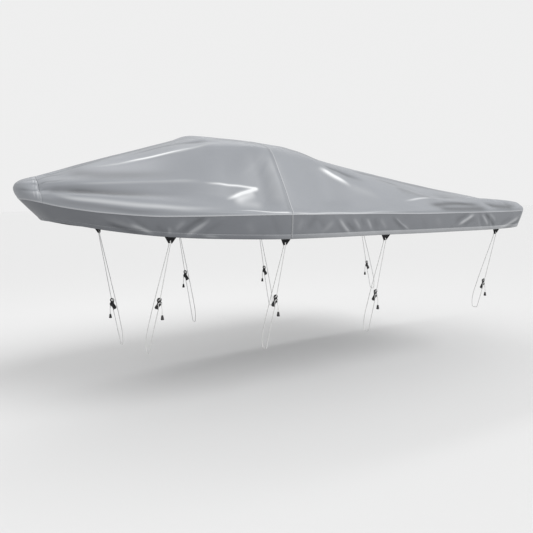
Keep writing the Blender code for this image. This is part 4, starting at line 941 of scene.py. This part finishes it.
def smoothRoute(points):
    # the same even curve as the solid's, as a list of its points
    distances = [0.0]
    for a, b in zip(points, points[1:]):
        distances.append(distances[-1] + (b - a).length ** 0.5)
    curve = [points[0]]
    for i in range(len(points) - 1):
        p1, p2 = points[i], points[i + 1]
        t1, t2 = distances[i], distances[i + 1]
        p0 = points[i - 1] if i else p1 * 2.0 - p2
        t0 = distances[i - 1] if i else 2.0 * t1 - t2
        p3 = points[i + 2] if i + 2 < len(points) else p2 * 2.0 - p1
        t3 = distances[i + 2] if i + 2 < len(points) else 2.0 * t2 - t1
        count = max(1, round((p2 - p1).length / rope["ring"]))
        for k in range(1, count + 1):
            t = t1 + (t2 - t1) * k / count
            a1 = p0.lerp(p1, (t - t0) / (t1 - t0))
            a2 = p1.lerp(p2, (t - t1) / (t2 - t1))
            a3 = p2.lerp(p3, (t - t2) / (t3 - t2))
            b1 = a1.lerp(a2, (t - t0) / (t2 - t0))
            b2 = a2.lerp(a3, (t - t1) / (t3 - t1))
            curve.append(b1.lerp(b2, (t - t1) / (t2 - t1)))
    return curve


def finishMesh(name, mesh, smooth=0.7):
    data = bpy.data.meshes.new(name)
    mesh.to_mesh(data)
    mesh.free()
    data.shade_smooth()
    if smooth:
        data.set_sharp_from_angle(angle=smooth)
    item = bpy.data.objects.new(name, data)
    bpy.context.collection.objects.link(item)
    return item


def tube(name, points, diameter, sides, closed=False):
    # tube along a line of points, with its length and turn as cloth coordinates
    count = len(points)
    tangents = []
    for i in range(count):
        before = points[(i - 1) % count] if closed or i else points[0]
        after = points[(i + 1) % count] if closed or i < count - 1 else points[-1]
        tangents.append((after - before).normalized())
    side = tangents[0].orthogonal().normalized()
    marks, sides3 = [0.0], []
    for i, tangent in enumerate(tangents):
        side = (side - tangent * side.dot(tangent)).normalized()
        sides3.append(side)
        if i:
            marks.append(marks[-1] + (points[i] - points[i - 1]).length)
    rings = count + 1 if closed else count
    mesh = bmesh.new()
    bmesh.ops.create_grid(mesh, x_segments=rings - 1, y_segments=sides, size=0.5)
    flow = mesh.loops.layers.uv.new("cloth")
    for vert in mesh.verts:
        i = round((vert.co.x + 0.5) * (rings - 1))
        j = round((vert.co.y + 0.5) * sides)
        vert.co = (i, j, 0.0)
    for face in mesh.faces:
        for loop in face.loops:
            i, j = round(loop.vert.co.x), round(loop.vert.co.y)
            loop[flow].uv = (marks[min(i, count - 1)], j / sides)
    for vert in mesh.verts:
        i, j = round(vert.co.x) % count, round(vert.co.y)
        angle = 2.0 * math.pi * j / sides
        reach = sides3[i] * math.cos(angle) + tangents[i].cross(sides3[i]) * math.sin(angle)
        vert.co = points[i] + reach * (diameter / 2.0)
    bmesh.ops.remove_doubles(mesh, verts=mesh.verts, dist=0.00001)
    bmesh.ops.holes_fill(mesh, edges=[e for e in mesh.edges if e.is_boundary], sides=0)
    bmesh.ops.recalc_face_normals(mesh, faces=mesh.faces)
    return finishMesh(name, mesh, smooth=1.0)


def flatPlate(outline, holes, thickness, bevel):
    # plate in its own a-b plane with rounded edges
    mesh = bmesh.new()
    edges = []
    for loop in (outline, *holes):
        verts = [mesh.verts.new((a, b, -thickness / 2.0)) for a, b in loop]
        for a, b in zip(verts, verts[1:] + verts[:1]):
            edges.append(mesh.edges.new((a, b)))
    filled = bmesh.ops.triangle_fill(mesh, edges=edges, use_beauty=True)
    faces = [f for f in filled["geom"] if isinstance(f, bmesh.types.BMFace)]
    bmesh.ops.dissolve_limit(mesh, angle_limit=0.01, verts=[], edges=mesh.edges)
    raised = bmesh.ops.extrude_face_region(mesh, geom=mesh.faces[:])
    lifted = [v for v in raised["geom"] if isinstance(v, bmesh.types.BMVert)]
    bmesh.ops.translate(mesh, verts=lifted, vec=(0.0, 0.0, thickness))
    bmesh.ops.recalc_face_normals(mesh, faces=mesh.faces)
    if bevel:
        rim = [e for e in mesh.edges if len(e.link_faces) == 2 and e.calc_face_angle(0.0) > 1.2]
        bmesh.ops.bevel(mesh, geom=rim, offset=bevel, segments=2, affect="EDGES",
                        profile=0.5, material=-1)
    return mesh


def paintFlat(mesh):
    flow = mesh.loops.layers.uv.get("cloth") or mesh.loops.layers.uv.new("cloth")
    for face in mesh.faces:
        for loop in face.loops:
            loop[flow].uv = (loop.vert.co.x, loop.vert.co.y)


def circle(center, radius, sides):
    return arc(center, radius, 0.0, 360.0 * (sides - 1) / sides, sides - 1)


def join(mesh, other):
    # copy another shape's geometry into this one
    data = bpy.data.meshes.new("joined")
    other.to_mesh(data)
    other.free()
    mesh.from_mesh(data)
    bpy.data.meshes.remove(data)


def makeTab(tie):
    widening = aftTab["widening"] if tie[2] > aftTab["start"] else 1.0
    half, drop = widening * tab["topWidth"] / 2, tab["drop"]
    shoulder, tip = tab["shoulderWidth"] / 2, tab["tipSpread"] / 2
    outline = (
        (-half, 0.0), (half, 0.0), (shoulder, -tab["shoulderDrop"]), (tip, -drop),
        (0.0, -tab["notchDrop"]), (-tip, -drop), (-shoulder, -tab["shoulderDrop"]),
    )
    hole = circle((0.0, -tab["holeDrop"]), tab["holeRadius"], 20)
    mesh = flatPlate(outline, [hole], tab["thickness"], tab["bevel"])
    for side in (-1, 1):
        # strap folded across the front from one corner to the other tip
        strap = flatPlate(outline, [hole], 0.0012, 0.0)
        for sign, reach in ((1, 0.0145), (-1, 0.0145)):
            start = Vector((side * (half - 0.012), 0.0, 0.0))
            end = Vector((-side * tip * 0.6, -drop, 0.0))
            along = (end - start).normalized()
            normal = Vector((-along.y, along.x, 0.0)) * sign
            bmesh.ops.bisect_plane(
                strap, geom=strap.verts[:] + strap.edges[:] + strap.faces[:], dist=0.000001,
                plane_co=start + normal * reach, plane_no=normal, clear_outer=True)
            gap = [e for e in strap.edges if e.is_boundary]
            bmesh.ops.holes_fill(strap, edges=gap, sides=0)
        rise = tab["thickness"] / 2 + (0.0004 if side < 0 else 0.0011)
        bmesh.ops.translate(strap, verts=strap.verts, vec=(0.0, 0.0, rise))
        join(mesh, strap)
    paintFlat(mesh)
    mesh.transform(frameMatrix(*tabFrame(tie)))
    bmesh.ops.recalc_face_normals(mesh, faces=mesh.faces)
    return finishMesh("tabWebbing_" + tie[0], mesh)


def tensionerOutline():
    outline = arc((0.0, 0.0), plate["eyeRadius"], -35.0, 215.0, 22)
    outline += [plate["waist"]]
    outline += arc(plate["lowerPost"], plate["lowerLobe"], 140.0, 285.0, 12)
    outline += [plate["tip"], plate["heel"]]
    outline += arc(plate["upperPost"], plate["upperLobe"], -70.0, 60.0, 12)
    return outline


def spunProfile(profile, sides=28):
    # solid turned about its own axis from (radius, height) pairs that start and end on it
    mesh = bmesh.new()
    verts = [mesh.verts.new((r, 0.0, h)) for r, h in profile]
    edges = [mesh.edges.new(pair) for pair in zip(verts, verts[1:])]
    bmesh.ops.spin(mesh, geom=verts + edges, axis=(0.0, 0.0, 1.0), cent=(0.0, 0.0, 0.0),
                   angle=2.0 * math.pi, steps=sides, use_merge=True)
    bmesh.ops.remove_doubles(mesh, verts=mesh.verts, dist=0.00001)
    bmesh.ops.recalc_face_normals(mesh, faces=mesh.faces)
    return mesh


def makeTensioner(tie, eye, down, out):
    mesh = flatPlate(tensionerOutline(), [circle((0.0, 0.0), plate["eyeHole"], 28)],
                     plate["thickness"], plate["bevel"])
    # raised rim round the eye
    ring = bmesh.new()
    middle = (plate["eyeRadius"] + plate["eyeHole"]) / 2.0
    seam = [ring.verts.new((middle + 0.0036 * math.cos(a), 0.0, 0.0046 * math.sin(a)))
            for a in [2.0 * math.pi * k / 14 for k in range(14)]]
    loop = [ring.edges.new(pair) for pair in zip(seam, seam[1:] + seam[:1])]
    bmesh.ops.spin(ring, geom=seam + loop, axis=(0.0, 0.0, 1.0), cent=(0.0, 0.0, 0.0),
                   angle=2.0 * math.pi, steps=36, use_merge=True)
    bmesh.ops.remove_doubles(ring, verts=ring.verts, dist=0.00001)
    bmesh.ops.recalc_face_normals(ring, faces=ring.faces)
    join(mesh, ring)
    top = plate["thickness"] / 2.0 + plate["postHeight"]
    for center, radius in ((plate["upperPost"], plate["upperRadius"]),
                           (plate["lowerPost"], plate["lowerRadius"])):
        neck = radius - 0.0012
        post = spunProfile(((0.0, 0.0), (neck, 0.0), (neck, top * 0.62), (radius, top * 0.72),
                            (radius, top - 0.0012), (radius - 0.0012, top), (0.0, top)))
        bmesh.ops.translate(post, verts=post.verts, vec=(center[0], center[1], 0.0))
        join(mesh, post)
    paintFlat(mesh)
    mesh.transform(frameMatrix(out.cross(down), -down, out, eye))
    bmesh.ops.recalc_face_normals(mesh, faces=mesh.faces)
    return finishMesh("tensionerPlate_" + tie[0], mesh)


def makeStop(tie, end):
    top, foot, length, edge = stop["topRadius"], stop["footRadius"], stop["length"], stop["edge"]
    slope = (foot - top) / length
    mesh = spunProfile((
        (0.0, 0.0), (top - edge, 0.0), (top, -edge), (top + slope * 0.009, -0.009),
        (top + slope * 0.010 - 0.0010, -0.0105), (top + slope * 0.012, -0.012),
        (foot, -length + edge), (foot - edge, -length), (0.0045, -length),
        (0.0040, -length + 0.006), (0.0, -length + 0.006)))
    bmesh.ops.translate(mesh, verts=mesh.verts, vec=end - Vector((0.0, 0.0, rope["faceGap"])))
    paintFlat(mesh)
    return finishMesh("endStop_" + tie[0], mesh)


def makeKnot(tie, eye, down, out):
    # overhand knot behind the eye
    lateral = out.cross(down)
    points = []
    for k in range(60):
        a = 2.0 * math.pi * k / 60
        reach = 0.0068 + 0.0042 * math.cos(1.5 * a * 2)
        x = (math.sin(a) + 2.0 * math.sin(2.0 * a)) * 0.0036
        y = (math.cos(a) - 2.0 * math.cos(2.0 * a)) * 0.0036
        z = -math.sin(3.0 * a) * 0.0030
        points.append(eye + lateral * x - down * y + out * (z - 0.0105))
    return tube("knot_" + tie[0], points, rope["diameter"] * 0.95, 12, closed=True)


tieSets = []
for tie in ties:
    eye, down, out, route = tieRoute(tie)
    line = smoothRoute(route)
    tieSets.append({
        "name": tie[0],
        "tab": makeTab(tie),
        "tensioner": makeTensioner(tie, eye, down, out),
        "stop": makeStop(tie, route[-1]),
        "knot": makeKnot(tie, eye, down, out),
        "rope": tube("tieRope_" + tie[0], line, rope["diameter"], rope["sides"]),
        "line": line,
    })
print("ties made")

# ---- materials ----

looks = {
    "cover_cloth": {"colour": (0.245, 0.256, 0.274), "light": (0.268, 0.279, 0.299),
                    "seam": (0.372, 0.384, 0.402)},
    # the skirt's cloth drawn darker than the top's: painted shade for the skirt hanging away from the light above;
    # its seam colour is also the painted light on the after half's casing
    "skirt_cloth": {"colour": (0.142, 0.149, 0.162), "light": (0.166, 0.174, 0.188),
                    "seam": (0.360, 0.368, 0.380)},
    "roughness": 0.42,
    "weave": 0.0009,           # spacing of the threads
    "stitch": 0.0045,
}


def newMaterial(name):
    material = bpy.data.materials.new(name)
    material.use_nodes = True
    nodes, links = material.node_tree.nodes, material.node_tree.links
    shader = nodes["Principled BSDF"]
    return material, nodes, links, shader


def math1(nodes, links, operation, a, b=None, c=None):
    node = nodes.new("ShaderNodeMath")
    node.operation = operation
    for socket, value in zip(node.inputs, (a, b, c)):
        if value is None:
            continue
        if isinstance(value, (int, float)):
            socket.default_value = value
        else:
            links.new(value, socket)
    return node.outputs[0]


def clothMaterial(name, colour, light, paleEdgeAndLitColour, casing):
    material, nodes, links, shader = newMaterial(name)
    flow = nodes.new("ShaderNodeUVMap")
    flow.uv_map = "cloth"
    seam = nodes.new("ShaderNodeUVMap")
    seam.uv_map = "seam"
    seamSplit = nodes.new("ShaderNodeSeparateXYZ")
    links.new(seam.outputs[0], seamSplit.inputs[0])
    flowSplit = nodes.new("ShaderNodeSeparateXYZ")
    links.new(flow.outputs[0], flowSplit.inputs[0])
    place3 = nodes.new("ShaderNodeTexCoord").outputs["Object"]

    # faded and handled patches
    patches = nodes.new("ShaderNodeTexNoise")
    patches.inputs["Scale"].default_value = 2.2
    patches.inputs["Detail"].default_value = 5.0
    patches.inputs["Roughness"].default_value = 0.6
    links.new(place3, patches.inputs["Vector"])
    fine = nodes.new("ShaderNodeTexNoise")
    fine.inputs["Scale"].default_value = 160.0
    fine.inputs["Detail"].default_value = 3.0
    links.new(place3, fine.inputs["Vector"])
    blend = nodes.new("ShaderNodeMix")
    blend.data_type = "RGBA"
    blend.inputs["A"].default_value = (*colour, 1.0)
    blend.inputs["B"].default_value = (*light, 1.0)
    share = math1(nodes, links, "MULTIPLY_ADD", patches.outputs["Fac"], 1.6, -0.4)
    share = math1(nodes, links, "ADD", share, math1(nodes, links, "MULTIPLY_ADD",
                                                   fine.outputs["Fac"], 0.5, -0.25))
    links.new(share, blend.inputs["Factor"])

    # threads of the weave, over and under
    weave = looks["weave"]
    warp = math1(nodes, links, "SINE", math1(nodes, links, "MULTIPLY", flowSplit.outputs[0],
                                             2.0 * math.pi / weave))
    weft = math1(nodes, links, "SINE", math1(nodes, links, "MULTIPLY", flowSplit.outputs[1],
                                             2.0 * math.pi / weave))
    cross = math1(nodes, links, "MULTIPLY", warp, weft)

    # stitch rows beside the seams
    away = seamSplit.outputs[1]
    alongSeam = seamSplit.outputs[0]
    dash = math1(nodes, links, "SINE", math1(nodes, links, "MULTIPLY", alongSeam,
                                             2.0 * math.pi / looks["stitch"]))
    dash = math1(nodes, links, "GREATER_THAN", dash, -0.35)
    rows = None
    for at in (0.0032, 0.0092, cloth["hemMark"] + skirt["casing"] - 0.0018) if casing else (0.0032, 0.0092):
        near = math1(nodes, links, "LESS_THAN", math1(
            nodes, links, "ABSOLUTE", math1(nodes, links, "SUBTRACT", away, at)), 0.0005)
        rows = near if rows is None else math1(nodes, links, "MAXIMUM", rows, near)
    thread = math1(nodes, links, "MULTIPLY", dash, rows)

    # seams a little lighter, and painted light on the skirt's after half and its hem casing
    paleLapAndPaintedLightMask = nodes.new("ShaderNodeAttribute")
    paleLapAndPaintedLightMask.attribute_name = "paleLapAndPaintedLight"
    lighter = nodes.new("ShaderNodeMix")
    lighter.data_type = "RGBA"
    links.new(paleLapAndPaintedLightMask.outputs["Fac"], lighter.inputs["Factor"])
    links.new(blend.outputs["Result"], lighter.inputs["A"])
    lighter.inputs["B"].default_value = (*paleEdgeAndLitColour, 1.0)
    threads = nodes.new("ShaderNodeMix")
    threads.data_type = "RGBA"
    links.new(thread, threads.inputs["Factor"])
    links.new(lighter.outputs["Result"], threads.inputs["A"])
    threads.inputs["B"].default_value = (0.46, 0.46, 0.46, 1.0)

    # painted highlight: paler where the creases' painted light is positive; painted shade: darker where it is
    # negative
    paintedLight = nodes.new("ShaderNodeAttribute")
    paintedLight.attribute_name = "paintedLight"
    paintedHighlight = nodes.new("ShaderNodeMix")
    paintedHighlight.data_type = "RGBA"
    links.new(math1(nodes, links, "MAXIMUM", paintedLight.outputs["Fac"], 0.0), paintedHighlight.inputs["Factor"])
    links.new(threads.outputs["Result"], paintedHighlight.inputs["A"])
    paintedHighlight.inputs["B"].default_value = (0.68, 0.69, 0.70, 1.0)
    paintedShade = nodes.new("ShaderNodeMix")
    paintedShade.data_type = "RGBA"
    links.new(math1(nodes, links, "MAXIMUM", math1(nodes, links, "MULTIPLY", paintedLight.outputs["Fac"],
                                                   -1.0), 0.0), paintedShade.inputs["Factor"])
    links.new(paintedHighlight.outputs["Result"], paintedShade.inputs["A"])
    paintedShade.inputs["B"].default_value = (*[c * 0.45 for c in colour], 1.0)
    links.new(paintedShade.outputs["Result"], shader.inputs["Base Color"])

    relief = math1(nodes, links, "MULTIPLY_ADD", thread, 2.5, cross)
    relief = math1(nodes, links, "ADD", relief, math1(
        nodes, links, "MULTIPLY", patches.outputs["Fac"], 1.0))
    bump = nodes.new("ShaderNodeBump")
    bump.inputs["Strength"].default_value = 0.35
    bump.inputs["Distance"].default_value = 0.00022
    links.new(relief, bump.inputs["Height"])
    links.new(bump.outputs["Normal"], shader.inputs["Normal"])
    rough = math1(nodes, links, "MULTIPLY_ADD", patches.outputs["Fac"], 0.16, looks["roughness"] - 0.08)
    links.new(rough, shader.inputs["Roughness"])
    shader.inputs["Specular IOR Level"].default_value = 0.25
    return material


def braidMaterial():
    material, nodes, links, shader = newMaterial("braidedRope")
    flow = nodes.new("ShaderNodeUVMap")
    flow.uv_map = "cloth"
    split = nodes.new("ShaderNodeSeparateXYZ")
    links.new(flow.outputs[0], split.inputs[0])
    alongTurns = math1(nodes, links, "MULTIPLY", split.outputs[0], 2.0 * math.pi / 0.0075)
    around = math1(nodes, links, "MULTIPLY", split.outputs[1], 2.0 * math.pi * 4.0)
    left = math1(nodes, links, "SINE", math1(nodes, links, "ADD", alongTurns, around))
    right = math1(nodes, links, "SINE", math1(nodes, links, "SUBTRACT", alongTurns, around))
    relief = math1(nodes, links, "MAXIMUM", left, right)
    # painted shade: the braid's grooves drawn darker and its crowns paler
    paintedGrooveShade = nodes.new("ShaderNodeMix")
    paintedGrooveShade.data_type = "RGBA"
    links.new(math1(nodes, links, "MULTIPLY_ADD", relief, 0.5, 0.5), paintedGrooveShade.inputs["Factor"])
    paintedGrooveShade.inputs["A"].default_value = (0.42, 0.42, 0.42, 1.0)
    paintedGrooveShade.inputs["B"].default_value = (0.80, 0.80, 0.79, 1.0)
    links.new(paintedGrooveShade.outputs["Result"], shader.inputs["Base Color"])
    bump = nodes.new("ShaderNodeBump")
    bump.inputs["Strength"].default_value = 0.8
    bump.inputs["Distance"].default_value = 0.0006
    links.new(relief, bump.inputs["Height"])
    links.new(bump.outputs["Normal"], shader.inputs["Normal"])
    shader.inputs["Roughness"].default_value = 0.6
    return material


def webbingMaterial():
    material, nodes, links, shader = newMaterial("blackWebbing")
    flow = nodes.new("ShaderNodeUVMap")
    flow.uv_map = "cloth"
    split = nodes.new("ShaderNodeSeparateXYZ")
    links.new(flow.outputs[0], split.inputs[0])
    ribs = math1(nodes, links, "SINE", math1(nodes, links, "MULTIPLY", split.outputs[0],
                                             2.0 * math.pi / 0.0022))
    picks = math1(nodes, links, "SINE", math1(nodes, links, "MULTIPLY", split.outputs[1],
                                              2.0 * math.pi / 0.0014))
    relief = math1(nodes, links, "MULTIPLY_ADD", picks, 0.5, ribs)
    # painted shade: the weave's low threads drawn darker
    paintedGrooveShade = nodes.new("ShaderNodeMix")
    paintedGrooveShade.data_type = "RGBA"
    links.new(math1(nodes, links, "MULTIPLY_ADD", relief, 0.3, 0.5), paintedGrooveShade.inputs["Factor"])
    paintedGrooveShade.inputs["A"].default_value = (0.005, 0.005, 0.006, 1.0)
    paintedGrooveShade.inputs["B"].default_value = (0.014, 0.014, 0.015, 1.0)
    links.new(paintedGrooveShade.outputs["Result"], shader.inputs["Base Color"])
    bump = nodes.new("ShaderNodeBump")
    bump.inputs["Strength"].default_value = 0.7
    bump.inputs["Distance"].default_value = 0.0004
    links.new(relief, bump.inputs["Height"])
    links.new(bump.outputs["Normal"], shader.inputs["Normal"])
    shader.inputs["Roughness"].default_value = 0.9
    shader.inputs["Specular IOR Level"].default_value = 0.2
    return material


def plasticMaterial():
    material, nodes, links, shader = newMaterial("blackPlastic")
    grain = nodes.new("ShaderNodeTexNoise")
    grain.inputs["Scale"].default_value = 900.0
    grain.inputs["Detail"].default_value = 2.0
    links.new(nodes.new("ShaderNodeTexCoord").outputs["Object"], grain.inputs["Vector"])
    bump = nodes.new("ShaderNodeBump")
    bump.inputs["Strength"].default_value = 0.3
    bump.inputs["Distance"].default_value = 0.0002
    links.new(grain.outputs["Fac"], bump.inputs["Height"])
    links.new(bump.outputs["Normal"], shader.inputs["Normal"])
    shader.inputs["Base Color"].default_value = (0.018, 0.018, 0.019, 1.0)
    links.new(math1(nodes, links, "MULTIPLY_ADD", grain.outputs["Fac"], 0.15, 0.40),
              shader.inputs["Roughness"])
    return material


topCloth = clothMaterial("coverCloth", looks["cover_cloth"]["colour"],
                         looks["cover_cloth"]["light"], looks["cover_cloth"]["seam"], casing=False)
skirtClothPaintedShade = clothMaterial("skirtClothPaintedShade", looks["skirt_cloth"]["colour"],
                           looks["skirt_cloth"]["light"], looks["skirt_cloth"]["seam"], casing=True)
ropeLook, webbingLook, plasticLook = braidMaterial(), webbingMaterial(), plasticMaterial()


def dress(item, material, node=None):
    item.data.materials.clear()
    item.data.materials.append(material)
    if node:
        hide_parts(node)
    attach(item, "root")


# flat cuts: width, length and area of each panel in metres
flatCuts = {
    "nose_cap": (0.45, 0.42, 0.093),
    "front_top": (1.80, 2.70, 3.33),
    "rear_top": (3.25, 2.70, 7.04),
    "front_skirt_port": (2.05, 0.22, 0.334),
    "front_skirt_starboard": (2.05, 0.22, 0.334),
    "rear_skirt_port": (3.95, 0.20, 0.681),
    "rear_skirt_starboard": (3.95, 0.20, 0.681),
}
for node, panel in panels.items():
    onSkirt = "skirt" in node
    dress(panel, skirtClothPaintedShade if onSkirt else topCloth, node)
    width, length, area = flatCuts[node]

for tieSet in tieSets:
    name = tieSet["name"]
    dress(tieSet["tab"], webbingLook, "tab_" + name)
    dress(tieSet["tensioner"], plasticLook, "tensioner_" + name)
    dress(tieSet["stop"], plasticLook, "stop_" + name)
    dress(tieSet["rope"], ropeLook, "rope_" + name)
    dress(tieSet["knot"], ropeLook)
    line = tieSet["line"]
    length = sum((b - a).length for a, b in zip(line, line[1:]))
    tuple(line[0])
    [tuple(p) for p in line]
    print(name, "rope", round(length, 3))
print("materials on")

# ---- floor, light and camera ----

studio = {
    "floor": -2.12,
    "floorReach": 60.0,
    "camera": (-2.6936, -4.7246, -0.4541),
    "yaw": 33.1,               # degrees from straight across the boat towards the stern
    "pitch": 7.0,
    "roll": -0.52,
    "lens": 40.53,
    "world": 0.86,
    "sun": {"power": 2.07, "angle": 40.0, "from": (0.6, -0.96, 1.1)},
    "strip": {"power": 60.0, "size": (5.5, 0.5), "at": (0.2, 2.2, 3.4), "towards": (0.2, -0.3, -0.4)},
}


def setCamera():
    yaw, pitch, roll = (math.radians(studio[key]) for key in ("yaw", "pitch", "roll"))
    ahead = Vector((math.sin(yaw) * math.cos(pitch), math.cos(yaw) * math.cos(pitch), -math.sin(pitch)))
    level = Vector((math.cos(yaw), -math.sin(yaw), 0.0))
    upright = level.cross(ahead)
    right = level * math.cos(roll) + upright * math.sin(roll)
    up = upright * math.cos(roll) - level * math.sin(roll)
    camera = bpy.data.objects.new("camera", bpy.data.cameras.new("camera"))
    camera.data.lens = studio["lens"]
    camera.data.sensor_width = 36.0
    camera.data.sensor_fit = "HORIZONTAL"
    camera.data.clip_end = 200.0
    camera.matrix_world = frameMatrix(right, up, -ahead, Vector(studio["camera"]))
    bpy.context.collection.objects.link(camera)
    bpy.context.scene.camera = camera


def areaLight(name):
    setting = studio[name]
    data = bpy.data.lights.new(name, "AREA")
    data.shape = "RECTANGLE"
    data.size, data.size_y = setting["size"]
    data.energy = setting["power"]
    lamp = bpy.data.objects.new(name, data)
    lamp.location = setting["at"]
    aim = Vector(setting["towards"]) - Vector(setting["at"])
    lamp.rotation_euler = aim.to_track_quat("-Z", "Y").to_euler()
    bpy.context.collection.objects.link(lamp)


def sunLight():
    data = bpy.data.lights.new("sun", "SUN")
    data.energy = studio["sun"]["power"]
    data.angle = math.radians(studio["sun"]["angle"])
    lamp = bpy.data.objects.new("sun", data)
    lamp.rotation_euler = (-Vector(studio["sun"]["from"])).to_track_quat("-Z", "Y").to_euler()
    bpy.context.collection.objects.link(lamp)


def makeFloor():
    mesh = bmesh.new()
    bmesh.ops.create_grid(mesh, x_segments=1, y_segments=1, size=studio["floorReach"])
    bmesh.ops.translate(mesh, verts=mesh.verts, vec=(0.0, 0.0, studio["floor"]))
    floor = finishMesh("floor", mesh, smooth=0)
    material, nodes, links, shader = newMaterial("floorWhite")
    shader.inputs["Base Color"].default_value = (0.62, 0.62, 0.62, 1.0)
    shader.inputs["Roughness"].default_value = 0.9
    floor.data.materials.append(material)


def setWorld():
    world = bpy.data.worlds.new("studio")
    world.use_nodes = True
    world.node_tree.nodes["Background"].inputs["Color"].default_value = (1.0, 1.0, 1.0, 1.0)
    world.node_tree.nodes["Background"].inputs["Strength"].default_value = studio["world"]
    bpy.context.scene.world = world


setCamera()
makeFloor()
setWorld()
sunLight()
areaLight("strip")
bpy.context.scene.view_settings.view_transform = "Standard"
print("studio set")
